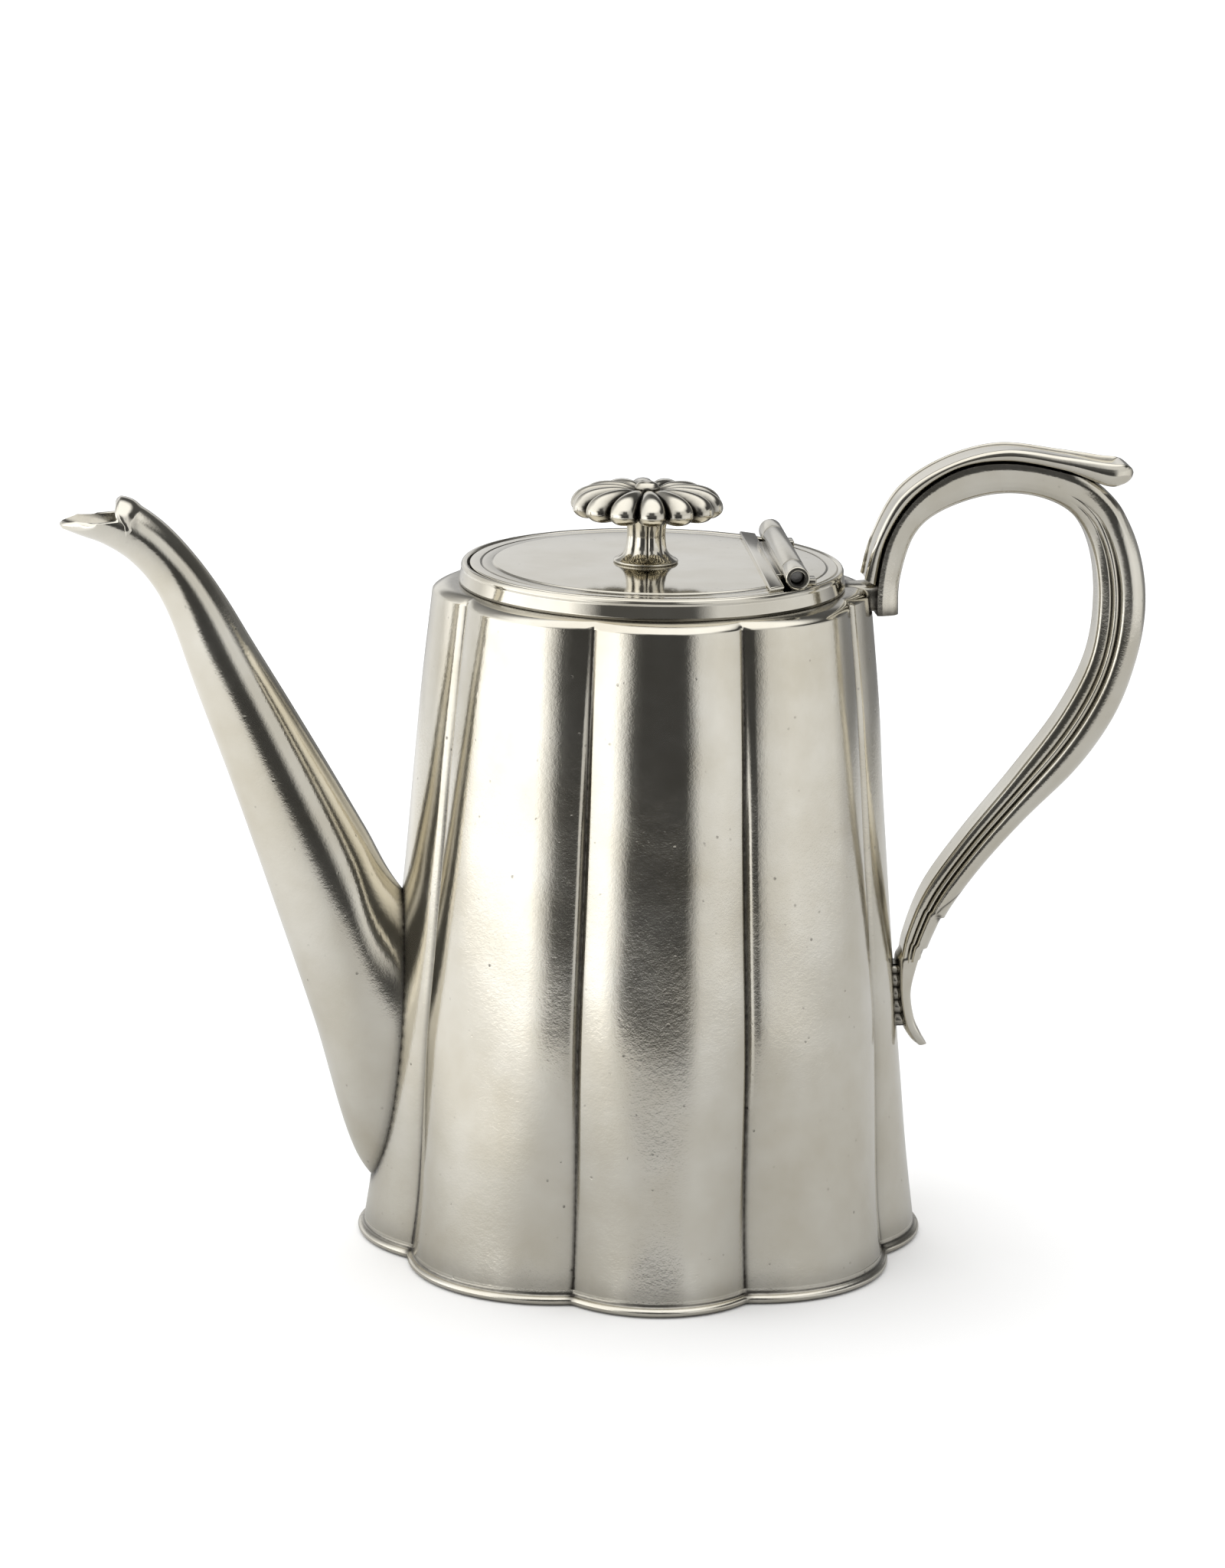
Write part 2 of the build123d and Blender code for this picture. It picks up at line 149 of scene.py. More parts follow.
# ---- curves --------------------------------------------------------------------------
def through(points, u):
    """Smooth curve through the points, read at parameters u, where point k is at u = k."""
    p = np.array(points, float)
    if p.ndim == 1:
        p = p[:, None]
    ends = np.vstack([p[:1], p, p[-1:]])
    u = np.asarray(u, float)
    i = np.clip(np.floor(u).astype(int), 0, len(p) - 2)
    t = (u - i)[..., None]
    a, b, c, d = ends[i], ends[i + 1], ends[i + 2], ends[i + 3]
    return b + t * (c - a) / 2 + t**2 * (2 * a - 5 * b + 4 * c - d) / 2 + t**3 * (3 * b - a - 3 * c + d) / 2


def evenly(points, count, parts=30):
    """count points evenly spaced along the smooth curve through the given ones."""
    fine = through(points, np.linspace(0, len(points) - 1, (len(points) - 1) * parts + 1))
    run = np.r_[0, np.cumsum(np.linalg.norm(np.diff(fine, axis=0), axis=1))]
    at = np.linspace(0, run[-1], count)
    return np.column_stack([np.interp(at, run, fine[:, k]) for k in range(fine.shape[1])])


def hermite(xs, ys, x):
    """Smooth interpolation of ys over xs, with the slopes of the neighbouring spans."""
    slope = np.gradient(ys, xs)
    i = np.clip(np.searchsorted(xs, x) - 1, 0, len(xs) - 2)
    h = xs[i + 1] - xs[i]
    t = np.clip((x - xs[i]) / h, 0, 1)
    return (
        (1 + 2 * t) * (1 - t) ** 2 * ys[i] + t * (1 - t) ** 2 * h * slope[i]
        + t**2 * (3 - 2 * t) * ys[i + 1] + t**2 * (t - 1) * h * slope[i + 1]
    )


def smoothstep(lo, hi, x):
    t = np.clip((x - lo) / (hi - lo), 0, 1)
    return t * t * (3 - 2 * t)


def bell(x, width):
    return np.exp(-((x / width) ** 2))


def filleted(corners, steps=5):
    """Closed outline of (a, b, radius) corners with its corners rounded, as (a, b) points."""
    out = []
    count = len(corners)
    for k in range(count):
        here = np.array(corners[k][:2], float)
        before = np.array(corners[k - 1][:2], float)
        after = np.array(corners[(k + 1) % count][:2], float)
        radius = corners[k][2]
        into, away = here - before, after - here
        into, away = into / np.linalg.norm(into), away / np.linalg.norm(away)
        turn = np.arccos(np.clip(into @ away, -1, 1))
        if radius <= 0 or turn < 1e-3:
            out.append(here)
            continue
        reach = radius * np.tan(turn / 2)
        start, end = here - into * reach, here + away * reach
        for t in np.linspace(0, 1, steps + 1):
            out.append((1 - t) ** 2 * start + 2 * t * (1 - t) * here + t**2 * end)
    return np.array(out)


# ---- the lobed outline ---------------------------------------------------------------
def lobe_angles(per_half=26, crowd=1.6):
    """Angles round the pot, crowded near the grooves."""
    from_groove = STEP / 2 * (np.arange(per_half) / per_half) ** crowd
    left = -STEP / 2 + from_groove
    right = STEP / 2 - np.r_[STEP / 2, from_groove[:0:-1]]
    one = np.r_[left, right]
    return np.concatenate([one + k * STEP for k in range(LOBES)])


def front_half(z):
    """Half angle of the front and back lobes, a little narrower than the rest."""
    return STEP / 2 - radians(3.2) + radians(1.2) * smoothstep(5, 70, z)


def spread(angle, z):
    """Moves evenly spaced lobe angles to where the lobes really are."""
    off = (angle % pi) - pi / 2
    edge = front_half(z)
    inside = np.abs(off) * edge / (STEP / 2)
    outside = edge + (np.abs(off) - STEP / 2) * (1.5 * STEP - edge) / STEP
    real = np.where(np.abs(off) < STEP / 2, inside, np.where(np.abs(off) < 1.5 * STEP, outside, np.abs(off)))
    return angle + np.sign(off) * (real - np.abs(off))


def groove_reach(angle, z=0.0):
    """Angle from the nearest groove, as if the lobes were all alike."""
    off = np.abs((angle % pi) - pi / 2)
    edge = front_half(z)
    inside = off * (STEP / 2) / edge
    outside = STEP / 2 + (off - edge) * STEP / (1.5 * STEP - edge)
    even = np.where(off < edge, inside, np.where(off < 1.5 * STEP, outside, off))
    return STEP / 2 - np.abs((even + STEP / 2) % STEP - STEP / 2)


def arc_radius(crest, groove, off_crest):
    half, run = groove * sin(STEP / 2), groove * cos(STEP / 2)
    sag = crest - run
    arc_r = (half**2 + sag**2) / (2 * sag)
    mid_r = crest - arc_r
    return mid_r * np.cos(off_crest) + np.sqrt(arc_r**2 - (mid_r * np.sin(off_crest)) ** 2)


def lobed_radius(crest, groove, angle, flat=0.0, z=0.0):
    """Radius of the lobed outline. flat makes the lobes flatter, with narrow channels between them."""
    reach = groove_reach(angle, z)
    off_crest = STEP / 2 - np.sqrt(reach**2 + GROOVE_EASE**2)
    plain = arc_radius(crest, groove, off_crest)
    shallow = np.maximum(groove, crest - LOBE_DEPTH)
    open_lobe = arc_radius(crest, shallow, off_crest)
    channel = np.minimum(shallow - groove + 0.3, 1.3) * bell(reach * groove, CHANNEL)
    return plain * (1 - flat) + (open_lobe - channel) * flat


def body_radius(z, angle):
    """Outside of the wall at height z."""
    crest = hermite(BODY[:, 0], BODY[:, 1], z)
    groove = hermite(BODY[:, 0], BODY[:, 2], z)
    flat = smoothstep(6, 60, z) * (1 - 0.4 * smoothstep(120, 147, z))
    return lobed_radius(crest, groove, angle, flat, z)


def hand_made(z, angle):
    """Slight unevenness of hand-finished metal."""
    return (
        0.035 * np.sin(z / 9.1 + 3 * angle)
        + 0.03 * np.sin(z / 17.0 - 5 * angle + 1.3)
        + 0.02 * np.sin(z / 4.3 + 11 * angle)
    )


def ring_at(angle, r, z):
    """Points of one ring round the pot's axis."""
    return np.stack([r * np.cos(angle), r * np.sin(angle), np.full_like(r, z)], axis=-1)


def rectangle(x0, x1, y0, y1):
    return [(x0, y0), (x1, y0), (x1, y1), (x0, y1)]


# ---- mesh helpers --------------------------------------------------------------------
def mesh_from(name, verts, faces, patina_and_shade, sharp):
    mesh = bpy.data.meshes.new(name)
    mesh.from_pydata((np.asarray(verts, float) * MM).tolist(), [], faces)
    # the point attribute written here holds real patina together with painted shade
    if patina_and_shade is not None:
        mesh.attributes.new("patina_and_shade", "FLOAT", "POINT").data.foreach_set(
            "value", np.clip(np.asarray(patina_and_shade, np.float32).ravel(), 0, 1)
        )
    bm = bmesh.new()
    bm.from_mesh(mesh)
    bmesh.ops.remove_doubles(bm, verts=bm.verts, dist=1e-7)
    bmesh.ops.dissolve_degenerate(bm, edges=bm.edges, dist=1e-8)
    bmesh.ops.recalc_face_normals(bm, faces=bm.faces)
    bm.to_mesh(mesh)
    bm.free()
    mesh.shade_smooth()
    mesh.set_sharp_from_angle(angle=radians(sharp))
    obj = bpy.data.objects.new(name, mesh)
    bpy.context.scene.collection.objects.link(obj)
    return obj


def skin(name, grid, wrap_u=False, caps=False, patina_and_shade=None, sharp=SHARP):
    """Quads over grid[u][v]. Rows close on themselves; wrap_u joins the last row to the first."""
    grid = np.asarray(grid, float)
    rows, cols = grid.shape[:2]
    faces = []
    for i in range(rows if wrap_u else rows - 1):
        j = (i + 1) % rows
        for k in range(cols):
            m = (k + 1) % cols
            faces.append((i * cols + k, i * cols + m, j * cols + m, j * cols + k))
    if caps:
        faces.append(tuple(range(cols - 1, -1, -1)))
        faces.append(tuple((rows - 1) * cols + k for k in range(cols)))
    return mesh_from(name, grid.reshape(-1, 3), faces, patina_and_shade, sharp)


def turned(name, outline, patina_and_shade, centre=(0.0, 0.0), segments=ROUND, along="z", wrap=True):
    """The (radius, height) outline turned round an axis. centre is (x, y), or (x, z) for an axis along Y."""
    outline = np.asarray(outline, float)
    angle = np.linspace(0, tau, segments, endpoint=False)
    radius = outline[:, :1] * np.ones(segments)
    height = outline[:, 1:2] * np.ones(segments)
    a, b = centre[0] + radius * np.cos(angle), centre[1] + radius * np.sin(angle)
    grid = np.stack([a, b, height] if along == "z" else [a, height, b], axis=-1)
    shade = patina_and_shade(outline[:, :1], outline[:, 1:2]) * np.ones(segments)
    return skin(name, grid, wrap_u=wrap, patina_and_shade=shade)


def slab(name, outline, z0, z1, bevel, patina_and_shade):
    """Flat piece of the (x, y) outline from z0 to z1 with soft edges."""
    bm = bmesh.new()
    verts = [bm.verts.new((x * MM, y * MM, z0 * MM)) for x, y in outline]
    face = bm.faces.new(verts)
    top = bmesh.ops.extrude_face_region(bm, geom=[face])
    for v in top["geom"]:
        if isinstance(v, bmesh.types.BMVert):
            v.co.z = z1 * MM
    bmesh.ops.recalc_face_normals(bm, faces=bm.faces)
    bm.normal_update()
    hard = [e for e in bm.edges if len(e.link_faces) == 2 and e.calc_face_angle(0) > radians(25)]
    bmesh.ops.bevel(bm, geom=hard, offset=bevel * MM, segments=3, profile=0.5, affect="EDGES")
    mesh = bpy.data.meshes.new(name)
    bm.to_mesh(mesh)
    bm.free()
    values = np.full(len(mesh.vertices), patina_and_shade, np.float32)
    mesh.attributes.new("patina_and_shade", "FLOAT", "POINT").data.foreach_set("value", values)
    mesh.shade_smooth()
    mesh.set_sharp_from_angle(angle=radians(30))
    obj = bpy.data.objects.new(name, mesh)
    bpy.context.scene.collection.objects.link(obj)
    return obj


def cut_flat(obj, x, keep):
    """Cuts a closed piece with the plane at x and closes the cut. keep is -1 for the low side."""
    bm = bmesh.new()
    bm.from_mesh(obj.data)
    geom = bm.verts[:] + bm.edges[:] + bm.faces[:]
    bmesh.ops.bisect_plane(
        bm, geom=geom, plane_co=(x * MM, 0, 0), plane_no=(-keep, 0, 0), clear_outer=True, dist=1e-8
    )
    rim = [e for e in bm.edges if e.is_boundary]
    bmesh.ops.holes_fill(bm, edges=rim, sides=0)
    bmesh.ops.recalc_face_normals(bm, faces=bm.faces)
    bm.to_mesh(obj.data)
    bm.free()
    obj.data.set_sharp_from_angle(angle=radians(SHARP))
    return obj


def cut_out(obj, cutter):
    """Takes the closed cutter out of obj."""
    mod = obj.modifiers.new("cut", "BOOLEAN")
    mod.operation, mod.solver, mod.object = "DIFFERENCE", "EXACT", cutter
    bpy.context.view_layer.update()
    done = bpy.data.meshes.new_from_object(obj.evaluated_get(bpy.context.evaluated_depsgraph_get()))
    obj.modifiers.clear()
    obj.data = done
    bpy.data.objects.remove(cutter)


def place(obj, body, nodes, material):
    obj.data.materials.clear()
    obj.data.materials.append(material)
    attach(obj, body)
    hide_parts(*nodes)


# ---- materials -----------------------------------------------------------------------
def metal(name, tint, shade, roughness, uneven, grain, pits):
    """Cast and hand-finished metal: cloudy tone, fine grain, small pits, and dark where the point attribute
    says: real patina together with painted shade in hollows, creases and gaps.
    """
    mat = bpy.data.materials.new(name)
    mat.use_nodes = True
    nodes, links = mat.node_tree.nodes, mat.node_tree.links
    nodes.clear()

    def make(kind, values=None, **inputs):
        node = nodes.new(kind)
        for key, value in (values or {}).items():
            setattr(node, key, value)
        for key, value in inputs.items():
            socket = node.inputs[key.replace("_", " ")]
            if isinstance(value, bpy.types.NodeSocket):
                links.new(value, socket)
            else:
                socket.default_value = value
        return node

    def math(kind, a, b=0.0):
        node = nodes.new("ShaderNodeMath")
        node.operation = kind
        for k, value in enumerate((a, b)):
            if isinstance(value, bpy.types.NodeSocket):
                links.new(value, node.inputs[k])
            else:
                node.inputs[k].default_value = value
        return node.outputs[0]

    place_in = make("ShaderNodeTexCoord").outputs["Object"]
    cloud = make("ShaderNodeTexNoise", Vector=place_in, Scale=55.0, Detail=4.0, Roughness=0.55).outputs["Fac"]
    speck = make("ShaderNodeTexNoise", Vector=place_in, Scale=900.0, Detail=3.0, Roughness=0.6).outputs["Fac"]
    fine = make("ShaderNodeTexNoise", Vector=place_in, Scale=2600.0, Detail=2.0, Roughness=0.5).outputs["Fac"]
    ridge = make("ShaderNodeTexNoise", Vector=place_in, Scale=210.0, Detail=3.0, Roughness=0.6).outputs["Fac"]
    pit = make("ShaderNodeTexVoronoi", Vector=place_in, Scale=420.0).outputs["Distance"]
    # painted shade: the point attribute read here holds real patina together with shade painted into grooves,
    # creases, gaps and recesses
    wear_and_shade = make("ShaderNodeAttribute", {"attribute_name": "patina_and_shade"}).outputs["Fac"]

    pit_mask = make(
        "ShaderNodeMapRange", {"interpolation_type": "SMOOTHSTEP"}, Value=pit, To_Min=1.0, To_Max=0.0
    )
    pit_mask.inputs["From Min"].default_value = 0.06
    pit_mask.inputs["From Max"].default_value = 0.20
    few = make("ShaderNodeMapRange", Value=ridge)
    few.inputs["From Min"].default_value, few.inputs["From Max"].default_value = 0.56, 0.70
    pit_dark = math("MULTIPLY", pit_mask.outputs[0], few.outputs[0])

    # the colour goes toward the dark shade colour both for patina and for painted shade
    dirt_and_shade = math("MULTIPLY", wear_and_shade, math("ADD", 0.75, math("MULTIPLY", speck, 0.5)))
    dirt_and_shade = math("MINIMUM", math("ADD", dirt_and_shade, math("MULTIPLY", pit_dark, pits)), 1.0)
    tone = make("ShaderNodeValToRGB", Fac=cloud)
    ramp = tone.color_ramp
    ramp.elements[0].position, ramp.elements[1].position = 0.30, 0.72
    ramp.elements[0].color = (tint[0] * 0.87, tint[1] * 0.845, tint[2] * 0.79, 1)
    ramp.elements[1].color = (*[min(1, c * 1.04) for c in tint], 1)
    colour = make("ShaderNodeMix", {"data_type": "RGBA"})
    links.new(dirt_and_shade, colour.inputs["Factor"])
    links.new(tone.outputs[0], colour.inputs["A"])
    colour.inputs["B"].default_value = (*shade, 1)

    rough = math("ADD", roughness, math("MULTIPLY", math("SUBTRACT", ridge, 0.5), uneven))
    rough = math("ADD", rough, math("MULTIPLY", math("SUBTRACT", cloud, 0.5), uneven))
    rough = math("ADD", rough, math("MULTIPLY", dirt_and_shade, 0.22))
    height = math("ADD", math("MULTIPLY", fine, 0.5), math("MULTIPLY", speck, 0.9))
    height = math("SUBTRACT", height, math("MULTIPLY", pit_dark, 2.0))
    bump = make("ShaderNodeBump", Height=height, Strength=grain, Distance=0.00006)

    bsdf = make("ShaderNodeBsdfPrincipled", Metallic=1.0)
    links.new(colour.outputs["Result"], bsdf.inputs["Base Color"])
    links.new(rough, bsdf.inputs["Roughness"])
    links.new(bump.outputs[0], bsdf.inputs["Normal"])
    out = make("ShaderNodeOutputMaterial")
    links.new(bsdf.outputs[0], out.inputs["Surface"])
    return mat


PEWTER_TINT = (0.70, 0.675, 0.605)
PEWTER_DARK = (0.040, 0.036, 0.031)
pewter = metal("pewter_satin", PEWTER_TINT, PEWTER_DARK, 0.125, 0.08, 0.34, 0.70)
pewter_bright = metal("pewter_polished", PEWTER_TINT, PEWTER_DARK, 0.085, 0.05, 0.12, 0.25)
pewter_inside = metal("pewter_inside", (0.55, 0.53, 0.48), PEWTER_DARK, 0.36, 0.12, 0.55, 0.7)
steel = metal("pin_steel", (0.50, 0.50, 0.50), (0.04, 0.04, 0.04), 0.30, 0.08, 0.4, 0.3)


# ---- spout ---------------------------------------------------------------------------
STATIONS = [(*upper, *lower, half) for upper, lower, half in SPOUT]


def spout_points(u, turn, cut=0.0):
    """Points of the spout's skin: u along it, turn round it from the upper side."""
    ux, uz, lx, lz, half = np.moveaxis(through(STATIONS, u), -1, 0)
    rx, rz = ux - lx, uz - lz
    length = np.hypot(rx, rz)
    reach = (length / 2 - cut) / length
    lean = np.cos(turn) * reach
    return np.stack(
        [(ux + lx) / 2 + rx * lean, (half - cut) * np.sin(turn), (uz + lz) / 2 + rz * lean], axis=-1
    )


def crossing(u, inside):
    """For each column, the u where the flags in inside change for the first time, from True to False."""
    first = np.argmin(inside, axis=0)
    return u[np.maximum(first - 1, 0)] * 0.5 + u[first] * 0.5


def probe(span, turn, cut=0.0):
    """Fine rows of points on the spout between two parameters: the parameters, then x, y and z."""
    u = np.linspace(*span, 3000)
    x, y, z = np.moveaxis(spout_points(u[:, None], turn[None, :], cut), -1, 0)
    return u, x, y, z


def hood_edge(z):
    """Where the hood ends, bowed forward below its top."""
    return HOOD_X - HOOD_BOW * np.clip(1 - ((z - BOW_Z) / BOW_HALF) ** 2, 0, 1)


def spout_range(turn, cut):
    """Where each line along the spout starts, in the wall, and ends, at the open beak."""
    u, x, y, z = probe(FOOT_SPAN, turn, cut)
    inside = np.hypot(x, y) < body_radius(z, np.arctan2(y, x)) - 0.35
    start = crossing(u, inside)
    u, x, y, z = probe(BEAK_SPAN, turn, cut)
    along = np.clip((HOOD_X - x) / (HOOD_X - LIP_X), 0, 1)
    rim_z = LIP_Z - 0.5 * np.sin(pi * along)
    whole = ~(((x < hood_edge(z)) & (z > rim_z)) | (x < LIP_X + 0.02 + 0.16 * y**2))
    whole[-1] = False
    return start, crossing(u, whole)


def make_spout():
    turn = np.linspace(0, tau, 144, endpoint=False)
    share = np.linspace(0, 1, 150)[:, None]
    start, end = spout_range(turn, 0.0)
    outer = spout_points(start + (end - start) * share, turn[None, :])
    start_in, end_in = spout_range(turn, SPOUT_WALL)
    inner = spout_points(start_in + (end_in - start_in) * share[::-2], turn[None, :], SPOUT_WALL)
    lip = outer[-1] - inner[0]
    push = outer[-1] - outer[-4]
    push /= np.linalg.norm(push, axis=-1, keepdims=True)
    round_lip = [outer[-1] - lip * t + push * 0.45 * sin(pi * t) for t in (0.15, 0.35, 0.5, 0.65, 0.85)]
    grid = np.concatenate([outer, round_lip, inner])
    seam = outer[0]
    along = np.linalg.norm(grid - grid[:1], axis=-1)
    # dark along the joint with the wall: a dark joint line together with painted shade in the crease
    wear_and_shade = 0.95 * bell(along, 1.0) + 0.35 * bell(along, 2.6)
    x, _, z = np.moveaxis(grid, -1, 0)
    # painted shade where the hood's rim sits on the spout
    wear_and_shade += 0.35 * bell(x - (HOOD_X + 2.9), 0.7) * (z > LIP_Z - 4)
    # painted shade: the inside of the spout darker
    wear_and_shade[len(outer) + len(round_lip):] += 0.30
    obj = skin("spout", grid, wrap_u=True, patina_and_shade=wear_and_shade)
    place(obj, "body", ["spout"], pewter)
    return seam


def make_hood_rim():
    """Rolled rim of the hood, thick on top and running out down both sides."""
    turn = np.linspace(-RIM_REACH, RIM_REACH, 90)
    u, x, _, z = probe(BEAK_SPAN, turn)
    at = crossing(u, x > hood_edge(z) + 0.9)
    centre = spout_points(at, turn)
    ahead = spout_points(at + 0.05, turn) - centre
    per_mm = 0.05 / np.linalg.norm(ahead, axis=-1)
    side = np.gradient(centre, axis=0)
    out = np.cross(side, ahead)
    out /= np.linalg.norm(out, axis=-1, keepdims=True)
    middle = spout_points(at, turn + pi)
    out *= np.sign(np.sum(out * (centre - middle), axis=-1, keepdims=True))
    size = np.clip(1 - (np.abs(turn) / RIM_REACH) ** 1.7, 0, 1)
    loops = []
    for psi in np.linspace(0, tau, 32, endpoint=False):
        # round at the front, thinning out toward the back, and sunk into the hood below
        lift = 0.52 * sin(psi) ** (4 if cos(psi) < 0 else 1) if sin(psi) > 0 else 0.6 * sin(psi)
        along = (RIM_FRONT - RIM_BACK) / 2 + (RIM_FRONT + RIM_BACK) / 2 * cos(psi)
        foot = spout_points(at + size * along * per_mm, turn)
        loops.append(foot + size[:, None] * out * (lift - 0.02))
    obj = skin("spout_hood_rim", np.stack(loops, axis=1), caps=True)
    obj.data.materials.append(pewter_bright)
    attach(obj, "body")


# ---- body ----------------------------------------------------------------------------
def make_body_wall(seam):
    heights = np.r_[np.linspace(FOOT_TOP, FOOT_TOP + 3, 7)[:-1], np.linspace(FOOT_TOP + 3, WALL_TOP, 150)]
    outer, inner = [], []
    for z in heights:
        angle = spread(lobe_angles(), z)
        outer.append(ring_at(angle, body_radius(z, angle) + hand_made(z, angle), z))
    for z in np.linspace(WALL_TOP, FOOT_TOP, 30):
        angle = spread(lobe_angles(), z)
        inner.append(ring_at(angle, body_radius(z, angle) - WALL, z))
    grid = np.array(outer + inner)
    x, y, z = np.moveaxis(grid, -1, 0)
    off = groove_reach(np.arctan2(y, x), z) * 50
    # dark in the grooves: real patina and dirt together with painted shade in the hollows
    wear_and_shade = 0.70 * bell(off, 0.50) + 0.24 * np.exp(-off / 1.5)
    # painted shade with patina in the crease just above the foot
    wear_and_shade += 0.22 * bell(z - FOOT_TOP, 3.0)
    near = x < -25
    gap = np.linalg.norm(grid[near][:, None, :] - seam[None, ::2, :], axis=-1).min(axis=1)
    # dark round the spout: a dark joint line together with painted shade in the crease
    wear_and_shade[near] += 0.90 * bell(gap, 1.2) + 0.30 * np.exp(-gap / 2.2)
    lo, hi = mm_box("lower_bracket")
    edge = np.hypot(np.maximum(np.abs(y) - 4.0, 0), np.maximum(np.abs(z - (lo[2] + hi[2]) / 2) - 7.4, 0))
    # painted shade round where the lower bracket meets the wall
    wear_and_shade += np.where(x > 40, 0.7 * bell(edge, 0.8) + 0.2 * bell(edge, 2.0), 0)
    # painted shade: the inside of the wall evenly darker
    wear_and_shade[len(outer):] = 0.25
    obj = skin("body_wall", grid, wrap_u=True, patina_and_shade=wear_and_shade)
    slot_turn = np.linspace(-pi / 2, pi / 2, 13)
    top = [(SLOT_R * sin(t), SLOT_TOP_Z + SLOT_R * cos(t)) for t in slot_turn]
    low = [(SLOT_R * sin(t), SLOT_LOW_Z + SLOT_R * cos(t)) for t in slot_turn + pi]
    ring = np.array(top + low)
    ends = [np.column_stack([np.full(len(ring), x), ring]) for x in SLOT_X]
    cut_out(obj, skin("slot_cutter", ends, caps=True))
    obj.data.set_sharp_from_angle(angle=radians(SHARP))
    place(obj, "body", ["body_wall"], pewter)


def make_foot():
    bead = []
    for t in np.linspace(-80, 80, 17):
        z = 1.10 + 1.00 * sin(radians(t))
        grow = 1.25 * cos(radians(t))
        bead.append((z, 62.4 + grow, 56.6 + grow))
    rows = bead + [(2.4, 62.35, 56.5), (2.9, 62.28, 56.4), (FOOT_TOP, 62.2, 56.32)]
    rows += [(FOOT_TOP, 60.4, 54.9), (FOOT_TOP - 0.2, 60.2, 54.7)]
    rows += [(0.3, 60.2, 54.7), (0.0, 60.5, 55.0), (0.0, 62.2, 56.4)]
    angle = spread(lobe_angles(), 0.0)
    grid = np.array([ring_at(angle, lobed_radius(crest, groove, angle), z) for z, crest, groove in rows])
    x, y, z = np.moveaxis(grid, -1, 0)
    off = groove_reach(np.arctan2(y, x)) * 56
    # painted shade with patina: dark in the crease above the bead, in the grooves, and along the bottom edge
    # on the floor
    wear_and_shade = 0.85 * bell(z - 2.4, 0.4) + 0.55 * bell(off, 1.0) * bell(z - 2.0, 1.6) + 0.45 * bell(z, 0.5)
    place(skin("foot_rim", grid, wrap_u=True, patina_and_shade=wear_and_shade), "body", ["foot_rim"], pewter)


def make_shoulder():
    """Cove that rolls over from the lobes of the wall to the round collar."""
    angle = spread(lobe_angles(), WALL_TOP)
    cove = [
        (sin(t) ** 1.15, 42.9 + 5.5 * cos(t) ** 0.9, 42.8 + 2.4 * cos(t)) for t in np.linspace(0, pi / 2, 22)
    ]
    grid = []
    for rise, crest, groove in [(0.0, MOUTH_R, MOUTH_R), (0.0, 47.2, 44.0), *cove, (1.0, MOUTH_R, MOUTH_R)]:
        r = lobed_radius(crest, groove, angle, 0.6 * (1 - rise) if crest > MOUTH_R else 0.0, WALL_TOP)
        grid.append(ring_at(angle, r, WALL_TOP + (COLLAR_Z - WALL_TOP) * rise))
    grid = np.array(grid)
    # painted shade in the crease where the shoulder meets the collar
    wear_and_shade = 0.55 * bell(grid[..., 2] - COLLAR_Z, 0.2) * (np.hypot(grid[..., 0], grid[..., 1]) > 42)
    place(skin("shoulder", grid, wrap_u=True, patina_and_shade=wear_and_shade, sharp=60), "body", ["shoulder"], pewter_bright)


def make_collar():
    bore = LID_R + 0.5
    outline = filleted([
        (MOUTH_R, COLLAR_Z, 0.2), (COLLAR_R - 0.15, COLLAR_Z, 0.3), (COLLAR_R, COLLAR_Z + 0.7, 0.5),
        (COLLAR_R - 0.55, COLLAR_TOP - 1.5, 0.6), (COLLAR_R - 0.45, COLLAR_TOP - 0.9, 0.5),
        (COLLAR_R - 0.8, COLLAR_TOP, 0.6), (bore, COLLAR_TOP - 0.3, 0.35),
        (bore, LID_Z - 0.4, 0.1), (MOUTH_R, LID_Z - 0.4, 0.2),
    ], steps=6)

    def shade(r, z):
        return 0.6 * bell(z - COLLAR_Z, 0.35) + 0.9 * (r < bore + 0.25) * (z < COLLAR_TOP - 0.6)

    place(turned("collar", outline, shade), "body", ["collar"], pewter_bright)


def deck_outline(radius, z0, top, line, field=None):
    """Outline of a flat round plate with an engraved line, and a raised field inside the radius field."""
    corners = [(0.0, z0, 0), (radius - 0.3, z0, 0.2), (radius, z0 + 0.3, 0.2), (radius, top, 0.32)]
    corners += [(line + 0.28, top, 0.08), (line, top - 0.34, 0.1), (line - 0.28, top, 0.08)]
    if field:
        corners += [(field, top, 0.2), (field - 0.5, top + 0.3, 0.35), (0.6 * field, top + 0.36, 0)]
        corners += [(0.0, top + 0.4, 0)]
    else:
        corners += [(0.0, top, 0)]
    return filleted(corners, steps=4)


def make_deck():
    def shade(r, z):
        return 0.95 * bell(r - DECK_LINE_R, 0.22) * (z > LID_TOP - 0.5)

    outline = deck_outline(DECK_HI[0], DECK_LO[2], LID_TOP, DECK_LINE_R)
    deck = turned("rear_deck", outline, shade, wrap=False)
    place(cut_flat(deck, DECK_LO[0], 1), "body", ["rear_deck"], pewter_bright)


# ---- lid -----------------------------------------------------------------------------
def make_lid():
    def shade(r, z):
        on_top = 0.95 * bell(r - LID_LINE_R, 0.22) + 0.45 * bell(r - LID_FIELD_R, 0.3)
        return on_top * (z > LID_TOP - 0.5) + 0.8 * (r > LID_R - 0.15) * (z < LID_TOP - 0.5)

    outline = deck_outline(LID_R, LID_Z, LID_TOP, LID_LINE_R, LID_FIELD_R)
    lid = turned("lid_plate", outline, shade, wrap=False)
    place(cut_flat(lid, LID_CUT_X, -1), "lid", ["lid_plate"], pewter_bright)


